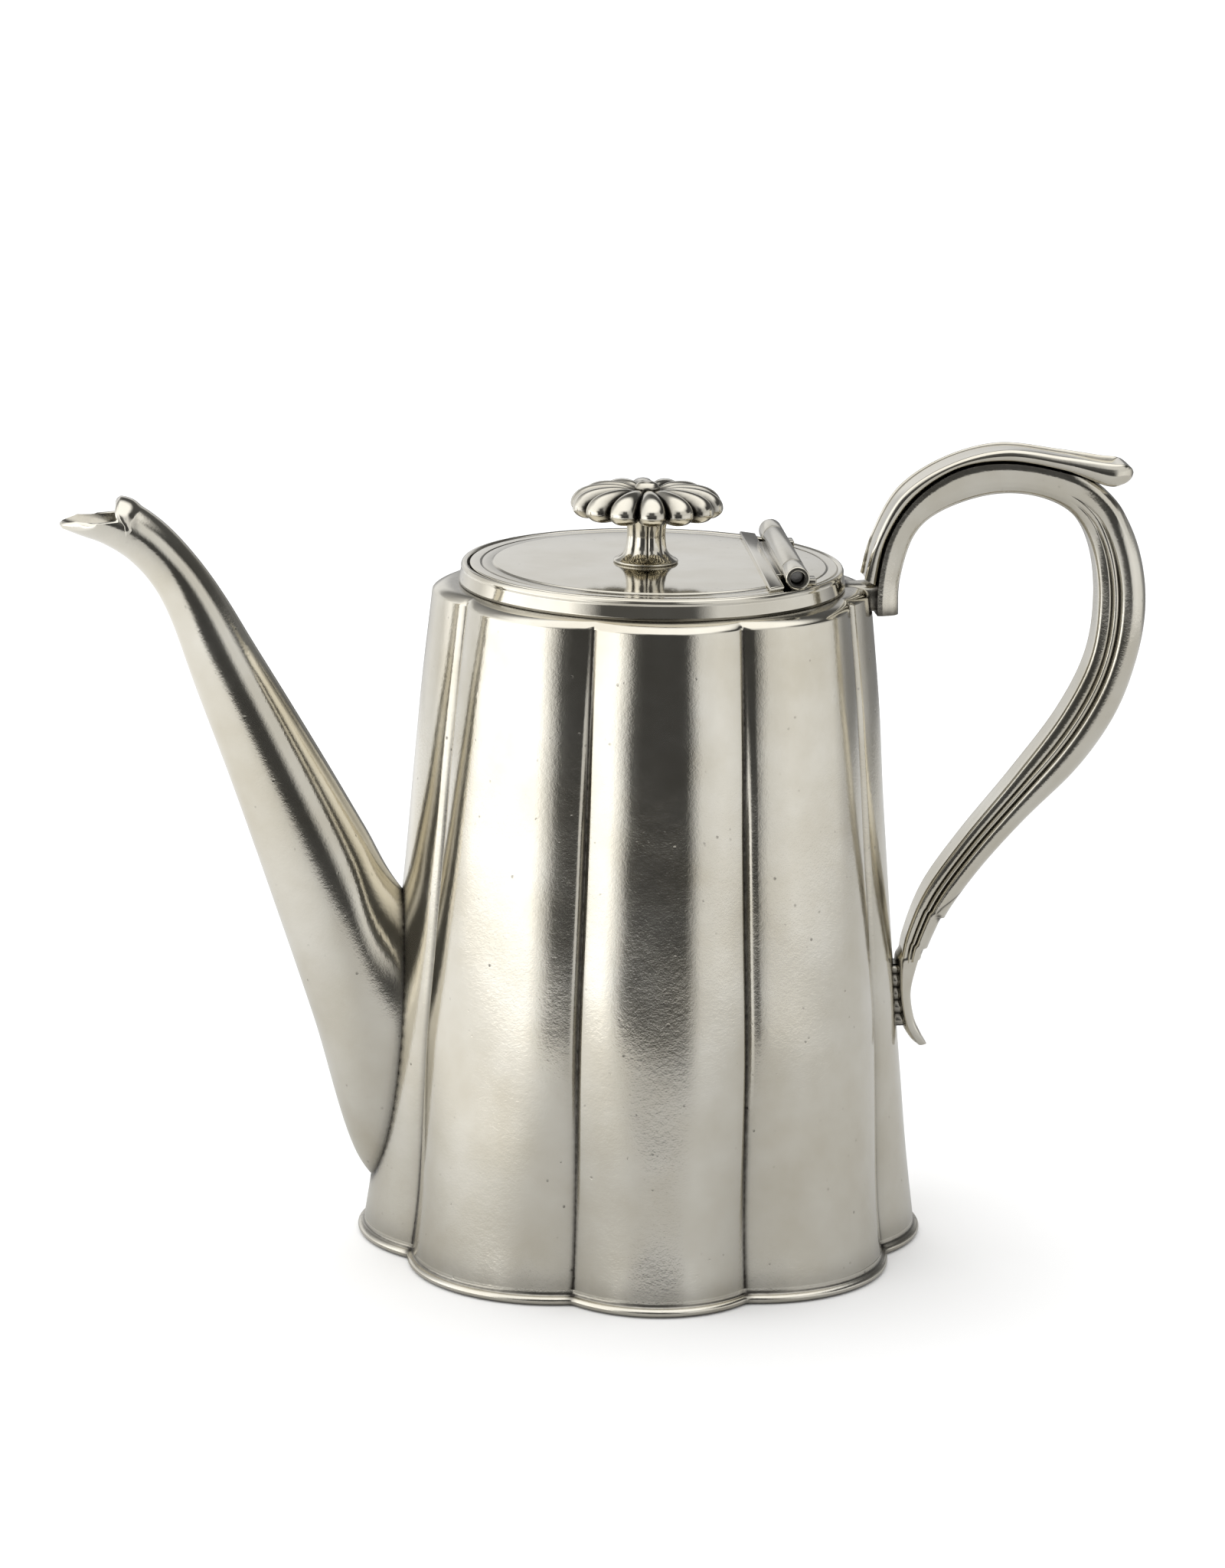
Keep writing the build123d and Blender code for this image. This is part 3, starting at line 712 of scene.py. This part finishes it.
def make_leaf():
    lo, hi = mm_box("lid_leaf")
    leaf_x1 = LID_CUT_X + 0.2
    edge = LID_R - 0.3
    low_y, high_y = (edge**2 - LEAF_X0**2) ** 0.5, (edge**2 - leaf_x1**2) ** 0.5
    outline = [(LEAF_X0, -low_y), (leaf_x1, -high_y), (leaf_x1, high_y), (LEAF_X0, low_y)]
    leaf = slab("lid_leaf", outline, LID_TOP - 0.05, LID_TOP + 1.15, 0.35, 0.05)
    place(leaf, "lid", ["lid_leaf"], pewter_bright)
    arm_half = KNUCKLE_HALF - 0.1
    arm = rectangle(leaf_x1 - 0.6, PIN_X - 1.9, -arm_half, arm_half)
    strap = slab("lid_leaf_arm", arm, LID_TOP + 0.05, LID_TOP + 1.35, 0.2, 0.35)
    barrel = turned(
        "lid_knuckle",
        filleted([
            (PIN_R + 0.06, -KNUCKLE_HALF, 0.1), (BARREL_R, -KNUCKLE_HALF, 0.35),
            (BARREL_R, KNUCKLE_HALF, 0.35), (PIN_R + 0.06, KNUCKLE_HALF, 0.1),
        ]),
        # painted shadow in the gaps at both ends of the knuckle
        lambda r, h: 0.6 * bell(np.abs(h) - KNUCKLE_HALF, 0.3), (PIN_X, PIN_Z), 64, "y",
    )
    for obj in (strap, barrel):
        obj.data.materials.append(pewter_bright)
        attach(obj, "lid")


def make_hinge_ends():
    for side, node in ((-1, "hinge_end_front"), (1, "hinge_end_back")):
        y0, y1 = side * END_Y0, side * BARREL_HALF
        rim = 0.35
        tube = turned(
            node,
            filleted([(PIN_R, y0, 0.1), (BARREL_R, y0, rim), (BARREL_R, y1, rim), (PIN_R, y1, 0.15)]),
            # painted shadow in the gap next to the lid's knuckle, and painted shade in the pin's bore
            lambda r, h, y0=y0: 0.6 * bell(h - y0, 0.3) + 0.9 * (r < PIN_R + 0.1),
            (PIN_X, PIN_Z), 64, "y",
        )
        place(tube, "body", [node], pewter_bright)
        low, high = sorted((y0 + side * 0.2, y1 - side * 4.2))
        foot = rectangle(PIN_X + 0.6, SOLE_X, low, high)
        sole = slab(f"{node}_sole", foot, LID_TOP - 0.05, LID_TOP + 1.3, 0.3, 0.3)
        sole.data.materials.append(pewter_bright)
        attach(sole, "body")


# ---- knob ----------------------------------------------------------------------------
def petal_swell(angle, count, power):
    """1 on the crest of each petal, 0 in the groove between two."""
    pitch = tau / count
    off = np.abs(angle % pitch - pitch / 2) / (pitch / 2)
    return np.sqrt(np.clip(1 - off**power, 0, 1))


def round_knob(r, angle, z):
    """Points round the axis of the knob."""
    return np.stack([KNOB_X + r * np.cos(angle), r * np.sin(angle), z * np.ones_like(r)], -1)


def make_stem():
    angle = np.linspace(0, tau, STEM_LOBES * 20, endpoint=False)
    top = FLOWER_LO[2] + 0.4
    stem = [
        (6.9, STEM_Z), (7.15, STEM_Z + 0.35), (7.0, STEM_Z + 0.7), (6.3, STEM_Z + 1.1), (5.4, STEM_Z + 1.9),
        (4.75, STEM_Z + 3.1), (4.45, STEM_Z + 4.7), (4.35, STEM_Z + 6.5), (4.55, STEM_Z + 8.6), (5.2, top),
    ]
    outline = through(stem, np.linspace(0, len(stem) - 1, 60))
    z = outline[:, 1:2]
    depth = smoothstep(STEM_Z + 0.5, STEM_Z + 2.4, z)
    rise = petal_swell(angle, STEM_LOBES, 2.0)[None, :]
    r = outline[:, :1] * (1 - 0.17 * depth * (1 - rise))
    # painted shade with patina: between the stem's lobes, at its foot on the lid, and under the flower
    wear_and_shade = 0.75 * depth * (1 - rise) ** 1.5 + 0.7 * bell(z - STEM_Z, 0.3) + 0.7 * bell(z - top, 0.9)
    stem = skin("knob_stem", round_knob(r, angle, z), caps=True, patina_and_shade=wear_and_shade)
    place(stem, "lid", ["knob_stem"], pewter_bright)


def make_flower():
    angle = np.linspace(0, tau, PETALS * 18, endpoint=False)
    low, high, wide = FLOWER_LO[2], FLOWER_HI[2], (FLOWER_HI[0] - FLOWER_LO[0]) / 2
    loop = np.array([
        (2.2, high - 1.0, 0.6), (4.0, high - 0.5, 1.0), (6.6, high + 0.1, 1.4), (10.0, high + 0.1, 1.9),
        (13.0, high - 0.4, 2.4), (15.2, high - 1.4, 2.8), (16.5, high - 2.8, 3.1), (wide, high - 4.2, 3.2),
        (16.5, low + 1.3, 3.0), (15.1, low + 0.3, 2.2), (12.8, low, 1.4), (9.5, low + 0.2, 0.8),
        (6.0, low + 0.5, 0.3), (3.0, low + 0.6, 0.0),
    ])
    line = through(loop, np.linspace(0, len(loop) - 1, 66))
    run = np.gradient(line[:, :2], axis=0)
    run /= np.linalg.norm(run, axis=1, keepdims=True)
    rise = petal_swell(angle, PETALS, 2.2)[None, :]
    sink = line[:, 2:3] * (1 - rise)
    r = line[:, :1] + run[:, 1:2] * sink
    z = line[:, 1:2] - run[:, :1] * sink
    # painted shade in the gaps between the petals and round the button
    wear_and_shade = np.clip((1 - rise) * 1.9, 0, 1) ** 1.2 * (line[:, :1] > 3)
    wear_and_shade += 0.95 * bell(line[:, :1] - 3.0, 1.7) * (line[:, 1:2] > high - 1.6)
    flower = skin("knob_flower", round_knob(r, angle, z), caps=True, patina_and_shade=wear_and_shade, sharp=60)
    place(flower, "lid", ["knob_flower"], pewter_bright)


def make_button():
    lo, hi = mm_box("knob_button")
    dome = filleted([
        (0.0, lo[2], 0), (2.7, lo[2], 0.1), (2.8, hi[2] - 1.3, 0.9), (2.1, hi[2] - 0.4, 0.8),
        (1.0, hi[2] - 0.05, 0.6), (0.0, hi[2], 0),
    ])

    def shade(r, z):
        return 0.8 * bell(z - hi[2] + 1.9, 0.8)

    button = turned("knob_button", dome, shade, (KNOB_X, 0.0), 64, wrap=False)
    place(button, "lid", ["knob_button"], pewter_bright)


# ---- handle --------------------------------------------------------------------------
# half of the moulded section: depth from the inner face (0) to the back (1), half width, groove depth
SECTION = [
    (0.000, 0.0, 0), (0.000, 2.2, 0), (0.004, 3.5, 0), (0.025, 4.15, 0), (0.070, 4.50, 0), (0.130, 4.65, 0),
    (0.190, 4.70, 0), (0.235, 4.72, 0.15), (0.265, 4.75, 0.9), (0.295, 4.80, 0.15), (0.325, 5.00, 0),
    (0.360, 5.00, 0), (0.390, 4.90, 0.15), (0.425, 4.90, 1.1), (0.460, 5.00, 0.25), (0.510, 5.20, 0),
    (0.580, 5.35, 0), (0.680, 5.30, 0), (0.790, 4.85, 0), (0.885, 3.90, 0), (0.950, 2.60, 0),
    (0.988, 1.30, 0), (1.000, 0.0, 0),
]
GROOVE_SHARE = 0.75  # of the groove depths above
# half of the plain section near the top, under the strap: depth, half width
PLAIN_SECTION = [
    (0.0, 1.8), (0.004, 2.4), (0.025, 2.9), (0.07, 3.4), (0.13, 3.8), (0.25, 4.3), (0.40, 4.7), (0.60, 5.0),
    (0.79, 5.0), (0.885, 4.1), (0.95, 2.7), (0.988, 1.3), (1.0, 0.0),
]
# edge of the scale low on the handle, as height and depth, and the heights of the two steps at the back
SCALE_TIP = [(72.8, 1.0), (73.4, 0.80), (74.6, 0.60), (75.9, 0.66), (78.3, 0.86), (80.2, 1.0)]
SCALE_EDGES = (72.9, 65.6)


def nearest_on(curve, points):
    gap = np.linalg.norm(curve[None, :, :] - points[:, None, :], axis=-1)
    return curve[gap.argmin(axis=1)]


def handle_lines(count):
    """Inner and outer sides of the handle, and each point's share of the way along it."""
    inner = evenly(INNER, count)
    outer = nearest_on(evenly(OUTER, 6000), inner)
    outer[-1] = OUTER[-1]
    for _ in range(6):
        outer[1:-1] = (outer[:-2] + 2 * outer[1:-1] + outer[2:]) / 4
    share = np.linspace(0, 1, count)
    across = outer - inner
    step = np.zeros(count)
    for edge in SCALE_EDGES:
        below = edge - outer[:, 1]
        step += np.where((below > 0) & (share > 0.6), -0.55 * np.exp(-below / 3.5), 0)
        step += np.where((below <= 0) & (share > 0.6), 0.2 * np.exp(below / 2.0), 0)
    return inner, outer + across / np.linalg.norm(across, axis=1, keepdims=True) * step[:, None], share


def make_handle():
    inner, outer, share = handle_lines(260)
    half = np.array(SECTION, float)
    fine = through(half, np.linspace(0, len(half) - 1, 3 * (len(half) - 1) + 1))
    fine[:, 1] = np.maximum(fine[:, 1], 0)
    ring = np.vstack([fine, (fine * [1, -1, -1])[-2:0:-1]])
    mould = smoothstep(0.30, 0.44, share)
    narrow = 1 - 0.14 * smoothstep(0.86, 1.0, share)
    s = ring[:, 0][None, :]
    plain = np.interp(ring[:, 0], *np.transpose(PLAIN_SECTION)) * np.sign(ring[:, 1])
    under_strap = 1 - smoothstep(0.30, 0.40, share)[:, None]
    back = smoothstep(0.55, 0.8, ring[:, 0]) * np.clip(np.abs(ring[:, 1]) - 1.0, 0, 1)
    moulded = ring[:, 1] - ring[:, 2] * GROOVE_SHARE
    y = moulded * mould[:, None] + plain * (1 - mould[:, None])
    y = (y + under_strap * back * (5.25 * np.sign(ring[:, 1]) - y)) * narrow[:, None]
    x = inner[:, :1] + (outer[:, :1] - inner[:, :1]) * s
    z = inner[:, 1:] + (outer[:, 1:] - inner[:, 1:]) * s
    grid = np.stack([x, y, z], -1)
    # painted shade with patina: dark in the moulded grooves, along the inner edge, at the scale's edge and
    # steps, and where the handle meets the collar
    wear_and_shade = (0.75 * bell(s - 0.265, 0.018) + 0.80 * bell(s - 0.425, 0.022)) * mould[:, None]
    wear_and_shade += 0.55 * bell(s - 0.02, 0.03) * (1 - mould[:, None])
    tip = np.interp(z, *np.transpose(SCALE_TIP))
    scale = (share[:, None] > 0.6) & (z > SCALE_TIP[0][0]) & (z < SCALE_TIP[-1][0])
    wear_and_shade += 0.95 * bell(s - tip, 0.03) * scale
    for edge in SCALE_EDGES:
        wear_and_shade += 0.8 * bell(z - edge, 0.35) * (s > 0.8) * (share[:, None] > 0.6)
    wear_and_shade += 0.8 * bell(share, 0.010)[:, None]
    # painted shade on the back under the thumb rest
    wear_and_shade += 0.6 * (share < 0.36)[:, None] * bell(s - 1.0, 0.05)
    place(skin("handle_loop", grid, caps=True, patina_and_shade=wear_and_shade), "body", ["handle_grip", "handle_spine"], pewter)


def make_thumb_rest():
    last = len(STRAP_TOP) - 1
    u = np.r_[np.linspace(0, last - 2, 120)[:-1], np.linspace(last - 2, last, 40)]
    top, under = through(STRAP_TOP, u), through(STRAP_UNDER, u)
    half = through(STRAP_HALF, u)[:, 0]
    profile = [
        (0.0, 0.0), (0.5, 0.0), (0.78, 0.05), (0.93, 0.22), (1.0, 0.5), (0.985, 0.74), (0.93, 0.93),
        (0.865, 1.0), (0.80, 0.985), (0.755, 0.90), (0.715, 0.845), (0.64, 0.855), (0.4, 0.85), (0.0, 0.84),
    ]
    fine = through(profile, np.linspace(0, len(profile) - 1, 3 * (len(profile) - 1) + 1))
    ring = np.vstack([fine, (fine * [-1, 1])[-2:0:-1]])
    # the rim runs on round the tip, so the trough closes before it
    trough = (ring[:, 1] > 0.8) & (np.abs(ring[:, 0]) < 0.86)
    closed = smoothstep(last - 2.5, last - 1.9, u)[:, None] * trough
    h = ring[:, 1][None, :] * (1 - closed) + closed
    x = under[:, :1] + (top[:, :1] - under[:, :1]) * h
    z = under[:, 1:] + (top[:, 1:] - under[:, 1:]) * h
    y = half[:, None] * ring[:, 0][None, :]
    grid = np.stack([x, y, z], -1)
    across = np.abs(ring[:, 0])[None, :]
    # painted shade: the shadow of the rim along the engraved border, and dark along the bottom edge where it
    # sits on the handle
    wear_and_shade = 0.75 * bell(across - 0.735, 0.03) * (h > 0.7)
    wear_and_shade += 0.6 * bell(h, 0.06) * (across > 0.4) * (u < last - 3.4)[:, None]
    place(skin("thumb_rest", grid, caps=True, patina_and_shade=wear_and_shade), "body", ["thumb_rest"], pewter_bright)


def make_tail():
    u = np.linspace(0, len(TAIL_FRONT) - 1, 90)
    front, back = through(TAIL_FRONT, u), through(TAIL_BACK, u)
    half = through(TAIL_HALF, u)[:, 0]
    turn = np.linspace(0, tau, 48, endpoint=False)
    wide = np.sign(np.cos(turn)) * np.abs(np.cos(turn)) ** 0.75
    deep = 0.5 + 0.5 * np.sign(np.sin(turn)) * np.abs(np.sin(turn)) ** 0.6
    vein = 0.10 * bell(np.cos(turn), 0.25) * (np.sin(turn) > 0)
    h = (deep - vein)[None, :]
    x = front[:, :1] + (back[:, :1] - front[:, :1]) * h
    z = front[:, 1:] + (back[:, 1:] - front[:, 1:]) * h
    grid = np.stack([x, half[:, None] * wide[None, :], z], -1)
    wear_and_shade = 0.5 * bell(h, 0.1) * (z > 47)
    place(skin("handle_tail", grid, caps=True, patina_and_shade=wear_and_shade), "body", ["handle_tail"], pewter)


def rounded_ring(half_a, half_b, power, count=48):
    turn = np.linspace(0, tau, count, endpoint=False)
    a = np.sign(np.cos(turn)) * np.abs(np.cos(turn)) ** power * half_a
    b = np.sign(np.sin(turn)) * np.abs(np.sin(turn)) ** power * half_b
    return a, b


def make_brackets():
    lo, hi = mm_box("upper_bracket")
    rows = []
    for t in np.linspace(0, 1, 24):
        x = COLLAR_R - 3.0 + (hi[0] + 1.2 - COLLAR_R + 3.0) * t
        waist = 1 - 0.16 * sin(pi * t)
        a, b = rounded_ring((hi[1] - lo[1]) / 2 * 0.92 * waist, (hi[2] - lo[2]) / 2 * 0.86 * waist, 0.55)
        rows.append(np.stack([np.full_like(a, x), a, (lo[2] + hi[2]) / 2 - 0.3 + b], -1))
    rows = np.array(rows)
    # painted shade: darker all over, most where it meets the collar and the handle
    wear_and_shade = 0.6 * bell(rows[..., 0] - COLLAR_R, 0.8) + 0.6 * bell(rows[..., 0] - hi[0], 1.0) + 0.45
    place(skin("upper_bracket", rows, caps=True, patina_and_shade=wear_and_shade), "body", ["upper_bracket"], pewter)

    lo, hi = mm_box("lower_bracket")
    rows, shade = [], []
    for z in np.linspace(lo[2], hi[2], 110):
        ridge = abs(sin(pi * (z - lo[2]) / 3.05))
        end = min((z - lo[2]) / 0.6, (hi[2] - z) / 0.6, 1.0) ** 0.5 if lo[2] < z < hi[2] else 0.7
        wall = float(body_radius(np.array([z]), np.array([0.0]))[0])
        face = float(np.interp(z, [48.4, 55.0, 62.5], [58.7, 57.3, 56.8]))
        a, b = rounded_ring((face - wall + 1.6) / 2, (2.9 + 0.75 * ridge) * end, 0.5)
        rows.append(np.stack([(face + wall - 1.0) / 2 + a, b, np.full_like(a, z)], -1))
        shade.append(np.full_like(a, 0.50 + 0.45 * (1 - ridge)))
    place(skin("lower_bracket", rows, caps=True, patina_and_shade=shade), "body", ["lower_bracket"], pewter)


# ---- nodes whose CAD shape stays -----------------------------------------------------
def paint_kept_nodes():
    finish = {
        "base_plate": (pewter_inside, "pewter"), "lid_bezel": (pewter_inside, "pewter"),
        "hinge_pin": (steel, "pin_steel"), "knob_stud": (steel, "pin_steel"),
        "knob_washer": (steel, "pin_steel"), "knob_nut": (steel, "pin_steel"),
    }
    for node, (material, slot) in finish.items():
        obj = frame["nodes"][node]
        obj.data.materials.clear()
        obj.data.materials.append(material)


# ---- stage ---------------------------------------------------------------------------
CAM_YAW, CAM_DIST, CAM_HEIGHT, CAM_LENS = radians(5.0), 1.1275, 0.3719, 119.69
CAM_PAN, CAM_PITCH, CAM_ROLL = radians(-0.40), radians(13.41), radians(1.08)
TOWARDS = Vector((-sin(CAM_YAW), -cos(CAM_YAW), 0))
RIGHT = Vector((cos(CAM_YAW), -sin(CAM_YAW), 0))


def make_camera():
    ahead = -TOWARDS * cos(CAM_PAN) + RIGHT * sin(CAM_PAN)
    right = RIGHT * cos(CAM_PAN) + TOWARDS * sin(CAM_PAN)
    up = Vector((0, 0, 1))
    look = ahead * cos(CAM_PITCH) - up * sin(CAM_PITCH)
    top = ahead * sin(CAM_PITCH) + up * cos(CAM_PITCH)
    across = right * cos(CAM_ROLL) + top * sin(CAM_ROLL)
    above = top * cos(CAM_ROLL) - right * sin(CAM_ROLL)
    data = bpy.data.cameras.new("camera")
    data.lens, data.sensor_width, data.sensor_fit = CAM_LENS, 36.0, "AUTO"
    data.clip_start, data.clip_end = 0.05, 60
    cam = bpy.data.objects.new("camera", data)
    spin = Matrix((across, above, -look)).transposed()
    cam.matrix_world = Matrix.Translation(TOWARDS * CAM_DIST + up * CAM_HEIGHT) @ spin.to_4x4()
    bpy.context.scene.collection.objects.link(cam)
    bpy.context.scene.camera = cam


class Graph:
    """Small helper that wires maths nodes."""

    def __init__(self, tree):
        self.tree = tree

    def node(self, kind, **settings):
        made = self.tree.nodes.new(kind)
        for key, value in settings.items():
            setattr(made, key, value)
        return made

    def join(self, value, socket):
        if isinstance(value, bpy.types.NodeSocket):
            self.tree.links.new(value, socket)
        else:
            socket.default_value = value

    def math(self, kind, a, b=0.0):
        made = self.node("ShaderNodeMath", operation=kind)
        self.join(a, made.inputs[0])
        self.join(b, made.inputs[1])
        return made.outputs[0]

    def dot(self, vector, fixed):
        made = self.node("ShaderNodeVectorMath", operation="DOT_PRODUCT")
        self.join(vector, made.inputs[0])
        made.inputs[1].default_value = fixed
        return made.outputs["Value"]

    def soft(self, value, lo, hi):
        made = self.node("ShaderNodeMapRange", interpolation_type="SMOOTHSTEP")
        self.join(value, made.inputs["Value"])
        made.inputs["From Min"].default_value, made.inputs["From Max"].default_value = lo, hi
        return made.outputs[0]

    def ramp(self, value, stops):
        made = self.node("ShaderNodeValToRGB")
        self.join(value, made.inputs[0])
        ramp = made.color_ramp
        while len(ramp.elements) < len(stops):
            ramp.elements.new(0.5)
        for element, (at, level) in zip(ramp.elements, stops):
            element.position = at
            element.color = (level, level, level, 1)
        return made.outputs[0]

    def mix(self, factor, a, b):
        made = self.node("ShaderNodeMix", data_type="FLOAT")
        self.join(factor, made.inputs["Factor"])
        self.join(a, made.inputs["A"])
        self.join(b, made.inputs["B"])
        return made.outputs["Result"]


# What reflections see of the studio, as (degrees, brightness) round the pot at three heights. Degrees count
# from the side where the camera stands, with its right as +. Brightness is halved, as a ramp ends at 1.
LOW_RING = [
    (-180, 0.10), (-160, 0.38), (-140, 0.48), (-122, 0.46), (-100, 0.95), (-42, 0.95), (-33, 0.50),
    (-24, 0.055), (-15, 0.030), (27, 0.030), (39, 0.44), (60, 0.50), (108, 0.44), (135, 0.14), (180, 0.10),
]
MID_RING = [
    (-180, 0.40), (-165, 0.48), (-120, 0.42), (-95, 0.80), (-50, 0.80), (-30, 0.05), (26, 0.05),
    (40, 0.42), (92, 0.40), (115, 0.10), (148, 0.08), (166, 0.30), (180, 0.40),
]
HIGH_RING = [
    (-180, 0.05), (-150, 0.20), (-120, 0.40), (-95, 0.75), (-50, 0.75), (-24, 0.40), (-13, 0.06),
    (14, 0.05), (28, 0.42), (64, 0.44), (80, 0.035), (180, 0.05),
]
# sines of the elevations between which one ring passes into the next, and the last into the ceiling
LOW_TO_MID, MID_TO_HIGH, HIGH_TO_CEILING = (0.05, 0.15), (0.26, 0.40), (0.60, 0.85)
CEILING = 1.5
SOFT_LIGHT, BACKDROP = 1.32, 1.10
PAPER = 0.95
# painted reflection: tone of the floor seen only in reflections, lighter on the left than on the right
PAINTED_FLOOR_LIGHT_LEFT, PAINTED_FLOOR_SHADE_RIGHT = 0.85, 0.52
TABLE_EDGE, EDGE_SOFTNESS = 0.62, 0.13
FLOOR_HALF = 9.0


def round_angle(g, vector):
    return g.math("DEGREES", g.math("ARCTAN2", g.dot(vector, RIGHT), g.dot(vector, TOWARDS)))


def make_world():
    world = bpy.data.worlds.new("studio")
    bpy.context.scene.world = world
    world.use_nodes = True
    tree = world.node_tree
    tree.nodes.clear()
    g = Graph(tree)
    direction = g.node("ShaderNodeTexCoord").outputs["Generated"]
    turn = g.math("DIVIDE", g.math("ADD", round_angle(g, direction), 180.0), 360.0)
    low, mid, high = [
        g.ramp(turn, [((a + 180) / 360, v) for a, v in ring]) for ring in (LOW_RING, MID_RING, HIGH_RING)
    ]
    height = g.dot(direction, (0, 0, 1))
    side = g.mix(g.soft(height, *MID_TO_HIGH), g.mix(g.soft(height, *LOW_TO_MID), low, mid), high)
    studio = g.mix(g.soft(height, *HIGH_TO_CEILING), g.math("MULTIPLY", side, 2.0), CEILING)
    path = g.node("ShaderNodeLightPath")
    lit = g.math("MULTIPLY_ADD", g.dot(direction, RIGHT * -0.5 - TOWARDS * 0.5), 0.9)
    lit.node.inputs[2].default_value = 1.0
    lit = g.mix(path.outputs["Is Camera Ray"], g.math("MULTIPLY", lit, SOFT_LIGHT), BACKDROP)
    seen = g.mix(path.outputs["Is Glossy Ray"], lit, studio)
    back = g.node("ShaderNodeBackground")
    g.join(seen, back.inputs["Strength"])
    back.inputs["Color"].default_value = (1, 1, 1, 1)
    out = g.node("ShaderNodeOutputWorld")
    tree.links.new(back.outputs[0], out.inputs[0])


def make_floor():
    """Plain pale floor. Reflections see it end a little way from the pot, as a table does, and see it with
    painted light, lighter on the left than on the right.
    """
    mesh = bpy.data.meshes.new("floor")
    corners = rectangle(-FLOOR_HALF, FLOOR_HALF, -FLOOR_HALF, FLOOR_HALF)
    mesh.from_pydata([(x, y, 0) for x, y in corners], [], [(0, 1, 2, 3)])
    floor = bpy.data.objects.new("floor", mesh)
    bpy.context.scene.collection.objects.link(floor)
    mat = bpy.data.materials.new("floor_paper")
    mat.use_nodes = True
    tree = mat.node_tree
    tree.nodes.clear()
    g = Graph(tree)
    spot = g.node("ShaderNodeNewGeometry").outputs["Position"]
    out_to = g.node("ShaderNodeVectorMath", operation="LENGTH")
    g.join(spot, out_to.inputs[0])
    beyond = g.soft(out_to.outputs["Value"], TABLE_EDGE - EDGE_SOFTNESS, TABLE_EDGE + EDGE_SOFTNESS)
    path = g.node("ShaderNodeLightPath")
    gone = g.math("MULTIPLY", beyond, path.outputs["Is Glossy Ray"])
    paper = g.node("ShaderNodeBsdfDiffuse")
    # painted reflection: reflections see the floor lighter on the left and darker on the right; all other
    # rays see it evenly pale
    seen = g.mix(g.soft(g.dot(spot, RIGHT), -0.30, -0.05), PAINTED_FLOOR_LIGHT_LEFT, PAINTED_FLOOR_SHADE_RIGHT)
    g.join(g.mix(path.outputs["Is Glossy Ray"], PAPER, seen), paper.inputs["Color"])
    blend = g.node("ShaderNodeMixShader")
    g.join(gone, blend.inputs[0])
    tree.links.new(paper.outputs[0], blend.inputs[1])
    tree.links.new(g.node("ShaderNodeBsdfTransparent").outputs[0], blend.inputs[2])
    out = g.node("ShaderNodeOutputMaterial")
    tree.links.new(blend.outputs[0], out.inputs["Surface"])
    mesh.materials.append(mat)


seam = make_spout()
make_hood_rim()
make_body_wall(seam)
make_foot()
make_shoulder()
make_collar()
make_deck()
make_lid()
make_leaf()
make_hinge_ends()
make_stem()
make_flower()
make_button()
make_handle()
make_thumb_rest()
make_tail()
make_brackets()
paint_kept_nodes()
make_camera()
make_world()
make_floor()
bpy.context.scene.view_settings.view_transform = "Standard"
